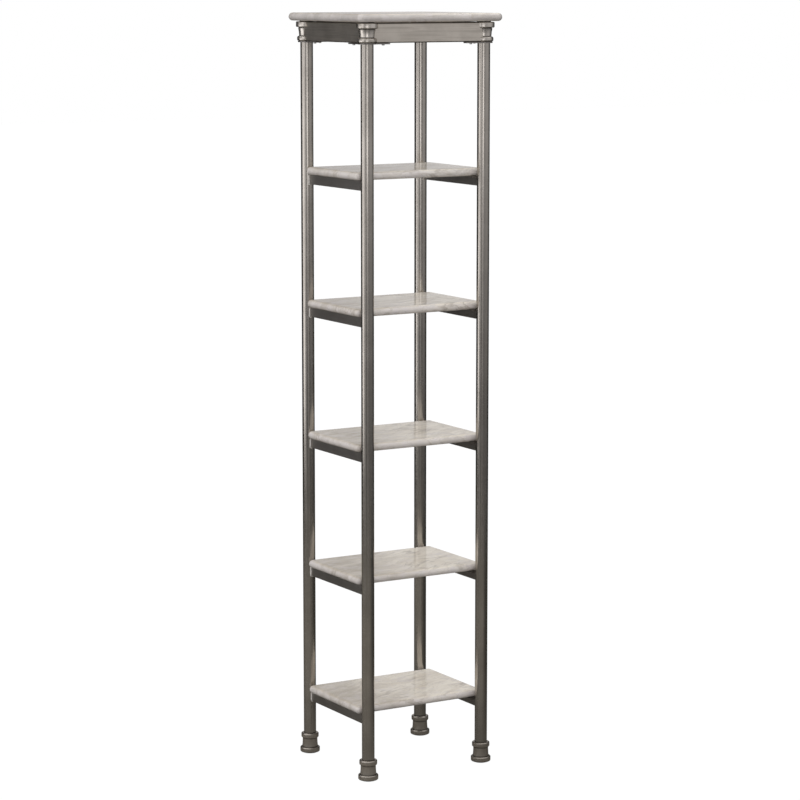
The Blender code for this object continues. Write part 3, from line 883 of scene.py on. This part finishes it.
def chamfered(radius, top, bottom, chamfer):
    """The outside of a round bar from top to bottom, with both edges chamfered."""
    return [
        (radius - chamfer, top),
        (radius, top - chamfer),
        (radius, bottom + chamfer),
        (radius - chamfer, bottom),
    ]


def tube_section():
    """A tube's wall, with its mouths chamfered."""
    outside = chamfered(tube_radius, tube_top, tube_bottom, TUBE_MOUTH_CHAMFER)
    inner = tube_radius - TUBE_WALL
    return outside + [(inner, tube_bottom), (inner, tube_top)]


def insert_section():
    """A flanged insert with two knurl grooves and a chamfered thread mouth."""
    low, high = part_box("leg_insert_front_left")
    body = tube_radius - TUBE_WALL - GAP
    groove = body - INSERT_GROOVE_DEPTH
    flange_top = tube_bottom - GAP
    mouth = stud_bore_radius
    section = [(mouth + INSERT_MOUTH_CHAMFER, high.z)]
    section += [(body - INSERT_TOP_CHAMFER, high.z), (body, high.z - INSERT_TOP_CHAMFER)]
    for share in INSERT_GROOVES:
        middle = flange_top + (high.z - flange_top) * (1 - share)
        section += [(body, middle + INSERT_GROOVE_HALF_MOUTH), (groove, middle + INSERT_GROOVE_HALF_FLOOR)]
        section += [(groove, middle - INSERT_GROOVE_HALF_FLOOR), (body, middle - INSERT_GROOVE_HALF_MOUTH)]
    section.append((body, flange_top))
    section += chamfered(tube_radius, flange_top, low.z, INSERT_FLANGE_EASE)
    section += [(mouth + INSERT_MOUTH_CHAMFER, low.z), (mouth, low.z + INSERT_MOUTH_CHAMFER)]
    section.append((mouth, high.z - INSERT_MOUTH_CHAMFER))
    return section


def plug_section():
    """A pressed-in plug with ribs round its stem and a rounded flat head."""
    low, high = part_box("top_plug_front_left")
    stem = tube_radius - TUBE_WALL - GAP
    core = stem - PLUG_RIB_DEPTH
    head = (high.x - low.x) / 2
    head_bottom = apron_top + GAP
    edge = PLUG_HEAD_EDGE_RADIUS
    section = [(0.0, high.z), (head - edge, high.z)]
    section += arc((head - edge, high.z - edge), edge, 90, 0, PLUG_HEAD_STEPS)
    section += [(head, head_bottom), (stem, head_bottom)]
    for number in range(PLUG_RIBS):
        top = apron_top - PLUG_RIB_START - PLUG_RIB_PITCH * number
        floor = top - PLUG_RIB_DEPTH
        section += [(stem, top), (core, floor), (core, floor - PLUG_RIB_FLOOR)]
    section += [(core, low.z + PLUG_TIP_TAPER), (core - PLUG_TIP_TAPER, low.z), (0.0, low.z)]
    return section


def pad_section():
    """A glide pad: rounded rim, a groove round its underside, and a boss with the stud's socket."""
    low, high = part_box("glide_pad_front_left")
    radius = (high.x - low.x) / 2
    rim = radius - PAD_EDGE_RADIUS
    groove_in = radius - PAD_GROOVE_INSIDE
    groove_out = radius - PAD_GROOVE_OUTSIDE
    section = [(0.0, 0.0), (groove_in, 0.0), (groove_in + PAD_GROOVE_FLANK, PAD_GROOVE_DEPTH)]
    section += [(groove_out - PAD_GROOVE_FLANK, PAD_GROOVE_DEPTH), (groove_out, 0.0)]
    section += arc((rim, PAD_EDGE_RADIUS), PAD_EDGE_RADIUS, -90, 0, PAD_EDGE_STEPS)
    section += arc((rim, PAD_THICKNESS - PAD_EDGE_RADIUS), PAD_EDGE_RADIUS, 0, 90, PAD_EDGE_STEPS)
    section += [(PAD_BOSS_RADIUS + PAD_BOSS_FILLET, PAD_THICKNESS)]
    section += [(PAD_BOSS_RADIUS, PAD_THICKNESS + PAD_BOSS_FILLET)]
    section += [(PAD_BOSS_RADIUS, high.z - PAD_BOSS_CHAMFER), (PAD_BOSS_RADIUS - PAD_BOSS_CHAMFER, high.z)]
    section += [(stud_bore_radius + PAD_SOCKET_FLARE, high.z)]
    section += [(stud_bore_radius, high.z - PAD_SOCKET_CHAMFER)]
    section += [(stud_bore_radius, PAD_SOCKET_FLOOR), (0.0, PAD_SOCKET_FLOOR)]
    return section


def with_thread(core, core_radius, thread_radius, pitch, start, end):
    """A round core with a thread wound on it between two heights."""
    values = {
        "Core Radius": core_radius, "Thread Radius": thread_radius, "Pitch": pitch,
        "Length": end - start, "Start": start, "Material": FINISHES["zinc"],
    }
    return grown(core, RECIPES["threading"], values)


def hexagon_mesh():
    """The stud's hexagon, with its corners chamfered top and bottom."""
    narrow = hexagon_radius - STUD_HEX_CHAMFER
    rise = STUD_HEX_CHAMFER * STUD_HEX_CHAMFER_SLOPE
    angles = [math.tau * step / 6 for step in range(6)]
    levels = [(narrow, 0.0), (hexagon_radius, rise)]
    levels += [(hexagon_radius, STUD_HEX_HEIGHT - rise), (narrow, STUD_HEX_HEIGHT)]
    loops = []
    for radius, level in levels:
        height = hexagon_bottom + level
        loops.append([(radius * math.cos(angle), radius * math.sin(angle), height) for angle in angles])
    return skin(loops, "stud_hexagon")


def stud_mesh():
    """A threaded stud with a smooth neck in the pad and a hexagon to turn it by."""
    low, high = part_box("glide_stud_front_left")
    neck_top = hexagon_bottom + STUD_HEX_HEIGHT
    outline = [(0.0, low.z), (STUD_THREAD_RADIUS - STUD_FOOT_CHAMFER, low.z)]
    outline += [(STUD_THREAD_RADIUS, low.z + STUD_FOOT_CHAMFER), (STUD_THREAD_RADIUS, neck_top)]
    outline += [(STUD_CORE_RADIUS, neck_top + STUD_NECK_TAPER), (STUD_CORE_RADIUS, high.z - STUD_TIP_CHAMFER)]
    outline += [(STUD_CORE_RADIUS - STUD_TIP_CHAMFER, high.z), (0.0, high.z)]
    core = turned_mesh("stud_core", outline, FINISHES["zinc"], closed=False, steps=STUD_STEPS)
    threaded = with_thread(
        core, STUD_CORE_RADIUS, STUD_THREAD_RADIUS, STUD_THREAD_PITCH,
        neck_top + STUD_THREAD_START, high.z - STUD_THREAD_END)
    return joined_mesh("glide_stud", [threaded, hexagon_mesh()])


def rail_section(side, face, flange):
    """An angle section: upright flange outside, level flange on top, with its top at height 0."""
    root = RAIL_ROOT_RADIUS
    toe = RAIL_TOE_RADIUS
    heel = RAIL_HEEL_RADIUS
    section = arc((heel, -heel), heel, 90, 180, RAIL_EDGE_STEPS)
    section.append((0.0, -flange))
    section += arc((RAIL_THICKNESS - toe, toe - flange), toe, -90, 0, RAIL_EDGE_STEPS)
    section += arc((RAIL_THICKNESS + root, -RAIL_THICKNESS - root), root, 180, 90, RAIL_EDGE_STEPS)
    section += arc((flange - toe, toe - RAIL_THICKNESS), toe, -90, 0, RAIL_EDGE_STEPS)
    section.append((flange, 0.0))
    return [(side * (face - across), height) for across, height in section]


def weld_path(side, face, low, high, row_y):
    """Down the outside of a rail's upright flange, under it and up the inside."""
    outer = side * (face + WELD_OUTSIDE)
    inner = side * (face - RAIL_THICKNESS - WELD_INSIDE)
    foot = low.z + WELD_FOOT_INSET
    return [
        (outer, row_y, high.z - WELD_TOP_INSET),
        (outer, row_y, foot),
        (side * (face - RAIL_THICKNESS / 2), row_y, low.z - WELD_UNDERSIDE),
        (inner, row_y, foot),
        (inner, row_y, high.z - RAIL_THICKNESS - WELD_ROOT_INSET),
    ]


def dress_rail(node, side):
    """An angle rail with a bead of weld down both sides of its upright flange at each tube."""
    low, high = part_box(node)
    face = max(abs(low.x), abs(high.x))
    section = rail_section(side, face, high.z - low.z)
    bar = skin([[(x, end, high.z + height) for x, height in section] for end in (low.y, high.y)], node)
    rows = (low.y + WELD_END_INSET, high.y - WELD_END_INSET)
    paths = [weld_path(side, face, low, high, row_y) for row_y in rows]
    values = {
        "Bead Radius": WELD_RADIUS, "Ripple": WELD_RIPPLE, "Ripple Pitch": WELD_RIPPLE_PITCH,
        "Spacing": WELD_SPACING, "Sides": WELD_SIDES, "Material": FINISHES["weld"],
    }
    beads = grown(line_mesh("bead_paths", paths), RECIPES["welding"], values)
    whole = joined_mesh(node, [bar, tidy_mesh(beads)])
    piece = dress("angle_" + node, whole, "frame_metal", [node])
    whole.materials.append(FINISHES["weld"])
    bar_faces = len(bar.polygons)
    for polygon in piece.data.polygons:
        polygon.material_index = 0 if polygon.index < bar_faces else 1


def apron_section(face, side):
    """A folded channel open to the inside, with its outer face at a distance from the middle."""
    inner = APRON_BEND_RADIUS
    outer = inner + APRON_SHEET
    height = apron_height
    section = [(APRON_LIP, 0.0)]
    section += arc((outer, -outer), outer, 90, 180, BEND_STEPS)
    section += arc((outer, outer - height), outer, 180, 270, BEND_STEPS)
    section += [(APRON_LIP, -height), (APRON_LIP, APRON_SHEET - height)]
    section += arc((outer, outer - height), inner, 270, 180, BEND_STEPS)
    section += arc((outer, -outer), inner, 180, 90, BEND_STEPS)
    section.append((APRON_LIP, -APRON_SHEET))
    return [(side * (face - across), level) for across, level in section]


def capital_space():
    """The room that the aprons leave for the four capitals."""
    side = [(0.0, GAP)] + capital_side(GAP)[1:-1] + [(0.0, -apron_height - GAP)]
    one = turned_mesh("capital_room", side, FINISHES["turned_metal"], closed=False)
    rooms = [moved_copy(one, axis + Vector((0, 0, apron_top))) for axis in leg_axes.values()]
    return new_object("capital_space", joined_mesh("capital_space", rooms))


def hole_space(name, points, radius, low, high, steps):
    """Round holes at points in plan, from one height to another."""
    side = [(0.0, high), (radius, high), (radius, low), (0.0, low)]
    one = turned_mesh(name, side, FINISHES["turned_metal"], closed=False, steps=steps)
    return new_object(name, joined_mesh(name, [moved_copy(one, (x, y, 0.0)) for x, y in points]))


def dress_apron(node, side, along, spaces):
    """A folded apron panel, coped round the capitals and bored for the screws."""
    low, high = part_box(node)
    if along == "X":
        half, face = leg_axes["front_right"].x, max(abs(low.y), abs(high.y))
    else:
        half, face = leg_axes["back_left"].y, max(abs(low.x), abs(high.x))
    section = apron_section(face, side)
    loops = []
    for end in (-half, half):
        if along == "X":
            loops.append([(end, across, high.z + level) for across, level in section])
        else:
            loops.append([(across, end, high.z + level) for across, level in section])
    panel = new_object(node + "_sheet", skin(loops, node))
    for space in spaces:
        cut(panel, space)
    mesh = panel.data
    bpy.data.objects.remove(panel)
    dress("folded_" + node, mesh, "brushed_sheet", [node], angle=APRON_SHARP_ANGLE)


def plate_outline(corner, reach_x, reach_y):
    """Two arms joined by a hollow curve inside and a round heel outside."""
    hollow_x = reach_x - arm_inner
    hollow_y = reach_y - arm_inner
    hollow = []
    for x, y in arc((0.0, 0.0), 1.0, 270, 180, PLATE_STEPS):
        hollow.append((reach_x + hollow_x * x, reach_y + hollow_y * y))
    heel_radius = tube_radius + PLATE_HEEL_MARGIN
    heel_start = math.degrees(math.asin(arm_outer / heel_radius))
    heel = arc((0.0, 0.0), heel_radius, 90 + heel_start, 360 - heel_start, PLATE_STEPS)
    outline = [(reach_x, -arm_outer)] + hollow + [(-arm_outer, reach_y)]
    return [inward(corner, x, y) for x, y in outline + heel]


def plate_reach(corner):
    """How far a corner plate's two arms reach from the leg's axis."""
    low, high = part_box("corner_plate_" + corner)
    axis = leg_axes[corner]
    reach_x = max(abs(high.x - axis.x), abs(low.x - axis.x))
    reach_y = max(abs(high.y - axis.y), abs(low.y - axis.y))
    return reach_x, reach_y


def dress_plate(corner, spaces):
    """A corner plate, bored for its tube and screws, with its edges eased."""
    node = "corner_plate_" + corner
    low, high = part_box(node)
    outline = plate_outline(corner, *plate_reach(corner))
    loops = [[(x, y, height) for x, y in outline] for height in (low.z, high.z)]
    plate = new_object(node + "_blank", skin(loops, node))
    for space in spaces:
        cut(plate, space)
    ease = plate.modifiers.new("eased_edges", "BEVEL")
    ease.width = PLATE_BEVEL
    ease.segments = PLATE_BEVEL_STEPS
    ease.limit_method = "ANGLE"
    ease.angle_limit = math.radians(PLATE_BEVEL_ANGLE)
    mesh = evaluated_mesh(plate)
    bpy.data.objects.remove(plate)
    dress("eased_" + node, mesh, "frame_metal", [node])


def screw_points(corner):
    """Where a corner plate's two screws stand, one under each apron."""
    return [plan_middle(f"plate_screw_{corner}_{number}") for number in (1, 2)]


def screw_mesh():
    """A pan head screw with a crossed recess and a thread, drawn head down with its shank up."""
    low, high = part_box("plate_screw_front_left_1")
    head_top = plate_low.z - GAP
    crown = SCREW_HEAD_CROWN
    neck = head_top + SCREW_NECK_LENGTH
    outline = [(0.0, low.z)]
    outline += arc((SCREW_HEAD_RADIUS - crown, low.z + crown), crown, -90, 0, SCREW_HEAD_CROWN_STEPS)
    outline += [(SCREW_HEAD_RADIUS, head_top - SCREW_HEAD_EASE)]
    outline += [(SCREW_HEAD_RADIUS - SCREW_HEAD_EASE, head_top)]
    outline += [(SCREW_THREAD_RADIUS, head_top), (SCREW_THREAD_RADIUS, neck)]
    outline += [(SCREW_CORE_RADIUS, neck + SCREW_NECK_LENGTH), (SCREW_CORE_RADIUS, high.z - SCREW_TIP_LENGTH)]
    outline += [(SCREW_TIP_RADIUS, high.z), (0.0, high.z)]
    core = turned_mesh("screw_core", outline, FINISHES["zinc"], closed=False, steps=SCREW_STEPS)
    blank = new_object("screw_blank", core)
    size = Matrix.Diagonal((SCREW_SLOT_LENGTH, SCREW_SLOT_WIDTH, 2 * SCREW_SLOT_DEPTH, 1.0))
    for turn in (0.0, 90.0):
        bm = bmesh.new()
        place = Matrix.Translation((0.0, 0.0, low.z)) @ Matrix.Rotation(math.radians(turn), 4, "Z")
        bmesh.ops.create_cube(bm, size=1.0, matrix=place @ size)
        cutter = new_object("recess_bar", mesh_from(bm, "recess_bar"))
        cut(blank, cutter)
        bpy.data.objects.remove(cutter)
    mesh = with_thread(
        blank.data, SCREW_CORE_RADIUS, SCREW_THREAD_RADIUS, SCREW_THREAD_PITCH,
        head_top + SCREW_THREAD_START, high.z - SCREW_THREAD_END)
    bpy.data.objects.remove(blank)
    return mesh


def dress_screws():
    """The eight plate screws, set out from one."""
    one = new_object("screw_pattern", screw_mesh())
    points, nodes = [], []
    for corner in CORNERS:
        points += [(x, y, 0.0) for x, y in screw_points(corner)]
        nodes += [f"plate_screw_{corner}_{number}" for number in (1, 2)]
    base = line_mesh("screw_points", [[point] for point in points])
    values = {"Fastener": one, "Material": FINISHES["zinc"]}
    mesh = grown(base, RECIPES["setting_out"], values)
    bpy.data.objects.remove(one)
    dress("pan_head_plate_screws", mesh, "zinc", nodes)


def seen_directly(tree):
    """1 for rays from the camera, from reflections and through glass, 0 for the rest."""
    camera = tree.add("ShaderNodeLightPath", {}, {}, "Is Camera Ray")
    glossy = tree.add("ShaderNodeLightPath", {}, {}, "Is Glossy Ray")
    glass = tree.add("ShaderNodeLightPath", {}, {}, "Is Transmission Ray")
    return maths("MAXIMUM", maths("MAXIMUM", camera, glossy), glass)


def light_world():
    """White to the camera and in reflections, and a soft even light on the object."""
    world = bpy.data.worlds.new("studio")
    world.use_nodes = True
    bpy.context.scene.world = world
    background = world.node_tree.nodes["Background"]
    background.inputs["Color"].default_value = WHITE
    tree = Tree(world.node_tree)
    seen = seen_directly(tree)
    tree.feed(background.inputs["Strength"], seen + (1.0 - seen) * AMBIENT_STRENGTH)


def floor_finish():
    """A pale floor that looks white and keeps a faint shadow."""
    material = bpy.data.materials.new("pale_floor")
    material.use_nodes = True
    tree = Tree(material.node_tree)
    shader = material.node_tree.nodes["Principled BSDF"]
    shader.inputs["Base Color"].default_value = (FLOOR_TONE, FLOOR_TONE, FLOOR_TONE, 1.0)
    shader.inputs["Roughness"].default_value = FLOOR_ROUGHNESS
    shader.inputs["Specular IOR Level"].default_value = 0.0
    sheet = Wire(tree, shader.outputs["BSDF"])
    glow = tree.add("ShaderNodeEmission", {}, {"Color": WHITE, "Strength": FLOOR_GLOW})
    share = seen_directly(tree) * FLOOR_GLOW_SHARE
    mixed = tree.add("ShaderNodeMixShader", {}, {0: share, 1: sheet, 2: glow})
    tree.feed(material.node_tree.nodes["Material Output"].inputs["Surface"], mixed)
    return material


def card_finish(name, tone, kind, tint):
    """A glow that is even, or fades towards the floor, from its bright side or above the legs."""
    material = bpy.data.materials.new(name)
    material.use_nodes = True
    tree = Tree(material.node_tree)
    material.node_tree.nodes.remove(material.node_tree.nodes["Principled BSDF"])
    point = tree.add("ShaderNodeTexCoord", {}, {}, "Object")
    strength = tone
    if kind == "lying":
        reach = vector_maths("DOT_PRODUCT", point, around(FLOOR_CARD_ANGLE, 1.0), "Value")
        distance = tree.add("ShaderNodeVectorMath", {"operation": "LENGTH"}, {0: point}, "Value")
        far = smooth_step(distance, *FLOOR_CARD_FAR)
        fade = smooth_step(reach, *FLOOR_CARD_FADE) * (1.0 - FLOOR_CARD_FAR_SHARE * far)
        strength = tone * (CARD_FLOOR_SHARE + (1.0 - CARD_FLOOR_SHARE) * fade)
    if kind == "standing":
        fade = smooth_step(height_of(point), CARD_FADE_START, CARD_FADE_END)
        strength = tone * (CARD_FLOOR_SHARE + (1.0 - CARD_FLOOR_SHARE) * fade)
    if kind == "lamp":
        fade = smooth_step(height_of(point), LAMP_FADE_START, LAMP_FADE_END)
        strength = tone * (1.0 - LAMP_FADE_SHARE * fade)
    glow = tree.add("ShaderNodeEmission", {}, {"Color": rgba(tint), "Strength": strength})
    tree.feed(material.node_tree.nodes["Material Output"].inputs["Surface"], glow)
    material.cycles.emission_sampling = "NONE"
    return material


def flat_mesh(name, corners):
    """One flat face."""
    mesh = bpy.data.meshes.new(name)
    mesh.from_pydata(corners, [], [tuple(range(len(corners)))])
    return mesh


def around(angle, distance, height=0.0):
    """A point round the tower. Angle 0 is towards the camera, and it grows to the camera's left."""
    heading = math.atan2(CAMERA_PLACE[1], CAMERA_PLACE[0]) - math.radians(angle)
    return Vector((distance * math.cos(heading), distance * math.sin(heading), height))


def stand_card(name, mesh, tone, kind, tint=CARD_TINT):
    """Put up a studio card that shows only in reflections."""
    mesh.materials.append(card_finish(name + "_tone", tone, kind, tint))
    card = new_object(name, mesh)
    card.visible_camera = False
    card.visible_diffuse = False
    card.visible_shadow = False
    card.visible_transmission = False


def add_card(name, start, end, tone, kind):
    """A curved card from the floor up, between two angles round the tower."""
    bm = bmesh.new()
    rows = []
    for step in range(CARD_STEPS + 1):
        angle = start + (end - start) * step / CARD_STEPS
        rows.append([bm.verts.new(around(angle, CARD_DISTANCE, level)) for level in (0.0, CARD_HEIGHT)])
    for first, second in zip(rows, rows[1:]):
        bm.faces.new((first[0], second[0], second[1], first[1]))
    mesh = bpy.data.meshes.new(name)
    bm.to_mesh(mesh)
    bm.free()
    stand_card(name, mesh, tone, kind)


def add_lamp(name, place, target, width, height, radiance, shows=True):
    """A softbox that faces a target, with its brightness as its own radiance, and its face as a card."""
    data = bpy.data.lights.new(name, "AREA")
    data.shape = "RECTANGLE"
    data.size = width
    data.size_y = height
    data.energy = radiance * math.pi * width * height
    lamp = bpy.data.objects.new(name, data)
    turn = (Vector(target) - Vector(place)).to_track_quat("-Z", "Y")
    lamp.location = place
    lamp.rotation_euler = turn.to_euler()
    lamp.visible_glossy = False
    bpy.context.scene.collection.objects.link(lamp)
    if shows:
        sides = [(-1, -1), (1, -1), (1, 1), (-1, 1)]
        corners = [Vector(place) + turn @ Vector((x * width / 2, y * height / 2, 0.0)) for x, y in sides]
        stand_card(name + "_face", flat_mesh(name + "_face", corners), radiance, "lamp")


# Sizes read from the CAD nodes
tube_low, tube_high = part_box("leg_tube_front_left")
tube_radius = (tube_high.x - tube_low.x) / 2
tube_bottom = tube_low.z
tube_top = tube_high.z
bore_radius = tube_radius + GAP
apron_low, apron_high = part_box("apron_front")
apron_top = apron_high.z
apron_height = apron_high.z - apron_low.z
capital_low, capital_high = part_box("capital_front_left")
band_radius = (capital_high.x - capital_low.x) / 2
foot_low, foot_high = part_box("foot_front_left")
foot_bottom = foot_low.z
foot_top = foot_high.z
foot_radius = (foot_high.x - foot_low.x) / 2
glide_low, glide_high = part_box("glide_pad_front_left")
recess_radius = (glide_high.x - glide_low.x) / 2 + GLIDE_SIDE_CLEARANCE
glide_ceiling = PAD_THICKNESS + GAP
hexagon_bottom = glide_high.z + GAP
well_top = hexagon_bottom + STUD_HEX_HEIGHT + WELL_CLEARANCE
foot_shoulder = well_top + FOOT_WEB
hexagon_radius = STUD_HEX_FLATS / 2 / math.cos(math.pi / 6)
well_radius = max(hexagon_radius, PAD_BOSS_RADIUS) + GLIDE_SIDE_CLEARANCE
stud_bore_radius = STUD_THREAD_RADIUS + GAP
arm_outer = tube_radius - APRON_SET_BACK - PLATE_EDGE_INSET
arm_inner = PLATE_ARM_WIDTH - arm_outer
leg_axes = {corner: Vector((*plan_middle("leg_tube_" + corner), 0.0)) for corner in CORNERS}

# The seams below are painted shade: dark lines under the capitals, where the tubes enter the feet, under the
# feet and along the aprons' top and bottom edges
FINISHES = {
    "marble": marble_finish(),
    "tube_metal": metal_finish(
        "brushed_tube", light=(0.52, 0.485, 0.440), dark=(0.38, 0.35, 0.310), roughness=0.20,
        grain_scale=(900.0, 900.0, 4.0), grain_depth=0.000001, seams=(apron_low.z, foot_top)),
    "turned_metal": metal_finish(
        "turned_capital", light=(0.72, 0.675, 0.615), dark=(0.47, 0.43, 0.375), roughness=0.25,
        grain_scale=(90.0, 90.0, 700.0), grain_depth=0.00001),
    "foot_metal": metal_finish(
        "turned_foot", light=(0.64, 0.59, 0.525), dark=(0.40, 0.36, 0.305), roughness=0.36,
        grain_scale=(150.0, 150.0, 420.0), grain_depth=0.00007, seams=(foot_bottom,), seam_reach=0.0034),
    "brushed_sheet": metal_finish(
        "brushed_apron", light=(0.71, 0.655, 0.580), dark=(0.45, 0.410, 0.355), roughness=0.31,
        grain_scale=(60.0, 60.0, 1700.0), grain_depth=0.000002, seams=(apron_top, apron_low.z),
        streak_share=0.55),
    "frame_metal": metal_finish(
        "dark_frame_metal", light=(0.34, 0.32, 0.30), dark=(0.24, 0.225, 0.21), roughness=0.42,
        grain_scale=(40.0, 8.0, 900.0), grain_depth=0.000003),
    # Painted highlight: the weld beads are near white, far brighter than the frame metal they join, so that
    # they glint
    "weld": metal_finish(
        "weld_painted_highlight", light=(0.97, 0.95, 0.92), dark=(0.84, 0.81, 0.77), roughness=0.34,
        grain_scale=(400.0, 400.0, 700.0), grain_depth=0.00001),
    "zinc": metal_finish(
        "bright_zinc", light=(0.66, 0.66, 0.65), dark=(0.50, 0.50, 0.49), roughness=0.30,
        grain_scale=(260.0, 260.0, 260.0), grain_depth=0.00001),
    "black_rubber": rubber_finish(),
    "black_plastic": plastic_finish(),
}
SLOTS = {name: name for name in FINISHES}
SLOTS["tube_metal"] = "turned_metal"
SLOTS["foot_metal"] = "turned_metal"
SLOTS["weld"] = "frame_metal"
RECIPES = {
    "turning": turning_recipe(),
    "welding": welding_recipe(),
    "threading": threading_recipe(),
    "setting_out": setting_out_recipe(),
}

# Stone
dress_slab("top_slab", "marble_top", TOP_CORNER_RADIUS)
for number in range(1, 6):
    dress_slab(f"shelf_slab_{number}", f"marble_shelf_{number}", SHELF_CORNER_RADIUS)

# Legs, from the plugs down to the glides
tube = turned_mesh("tube", tube_section(), FINISHES["tube_metal"])
capital = mark_hollows(turned_mesh("capital", capital_side(), FINISHES["turned_metal"]), capital_side())
foot = mark_hollows(turned_mesh("foot", foot_section(), FINISHES["foot_metal"]), foot_section())
insert = turned_mesh("insert", insert_section(), FINISHES["zinc"])
plug = turned_mesh("plug", plug_section(), FINISHES["black_plastic"], closed=False)
pad = turned_mesh("pad", pad_section(), FINISHES["black_rubber"], closed=False)
stud = stud_mesh()
for corner in CORNERS:
    dress_turned("leg_tube_" + corner, tube, "tube_metal")
    dress_turned("capital_" + corner, moved_copy(capital, (0.0, 0.0, apron_top)), "turned_metal")
    dress_turned("foot_" + corner, foot, "foot_metal")
    dress_turned("leg_insert_" + corner, insert, "zinc")
    dress_turned("top_plug_" + corner, plug, "black_plastic")
    dress_turned("glide_pad_" + corner, pad, "black_rubber", "pad_" + corner)
    dress_turned("glide_stud_" + corner, stud, "zinc", "stud_" + corner)

# Rails under the shelves
for number in range(1, 6):
    dress_rail(f"rail_left_{number}", -1)
    dress_rail(f"rail_right_{number}", 1)

# Aprons, corner plates and their screws
screws = [point for corner in CORNERS for point in screw_points(corner)]
plate_low, plate_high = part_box("corner_plate_front_left")
capital_room = capital_space()
hole_bottom = plate_low.z - HOLE_MARGIN
hole_radius = SCREW_THREAD_RADIUS + GAP
screw_room = hole_space(
    "screw_space", screws, hole_radius, hole_bottom, apron_low.z + SCREW_HOLE_DEPTH, SCREW_STEPS)
legs = [(axis.x, axis.y) for axis in leg_axes.values()]
tube_room = hole_space(
    "tube_space", legs, bore_radius, hole_bottom, plate_high.z + HOLE_MARGIN, TURNED_STEPS)
for node, side, along in (
        ("apron_front", -1, "X"), ("apron_back", 1, "X"), ("apron_left", -1, "Y"), ("apron_right", 1, "Y")):
    dress_apron(node, side, along, (capital_room, screw_room))
for corner in CORNERS:
    dress_plate(corner, (tube_room, screw_room))
dress_screws()
for room in (capital_room, screw_room, tube_room):
    bpy.data.objects.remove(room)

# Studio
light_world()
floor_corners = [(x * FLOOR_HALF, y * FLOOR_HALF, 0) for x, y in ((-1, -1), (1, -1), (1, 1), (-1, 1))]
floor = new_object("studio_floor", flat_mesh("studio_floor", floor_corners))
floor.data.materials.append(floor_finish())
for name, (start, end, tone, kind) in CARDS.items():
    add_card(name, start, end, tone, kind)
floor_ring = []
for step in range(FLOOR_CARD_SIDES):
    floor_ring.append(around(360.0 * step / FLOOR_CARD_SIDES, FLOOR_CARD_RADIUS, FLOOR_CARD_LIFT))
stand_card("floor_card", flat_mesh("floor_card", floor_ring), FLOOR_CARD_TONE, "lying", FLOOR_CARD_TINT)
add_lamp(
    "left_strip", place=around(76.0, 2.5, 1.83), target=(0.0, 0.0, 1.83),
    width=1.5, height=2.75, radiance=1.50)
add_lamp(
    "front_softbox", place=around(-1.0, 2.0, 2.05), target=(0.0, 0.0, 1.7),
    width=0.76, height=1.34, radiance=1.90)
add_lamp(
    "overhead_softbox", place=(0.0, -0.2, 4.2), target=(0.0, 0.0, 0.0),
    width=2.5, height=2.5, radiance=0.9)
add_lamp(
    "front_fill", place=around(-20.0, 4.5, 2.6), target=(0.0, 0.0, 0.9),
    width=2.6, height=2.6, radiance=0.8, shows=False)

# Camera
camera_data = bpy.data.cameras.new("photo_camera")
camera_data.lens = CAMERA_LENS
camera_data.sensor_width = SENSOR_WIDTH
camera_data.clip_end = CAMERA_REACH
camera = bpy.data.objects.new("photo_camera", camera_data)
camera.location = CAMERA_PLACE
camera.rotation_euler = (math.radians(90.0 - CAMERA_PITCH), 0.0, math.radians(CAMERA_TURN))
bpy.context.scene.collection.objects.link(camera)
bpy.context.scene.camera = camera
bpy.context.scene.view_settings.view_transform = "Standard"
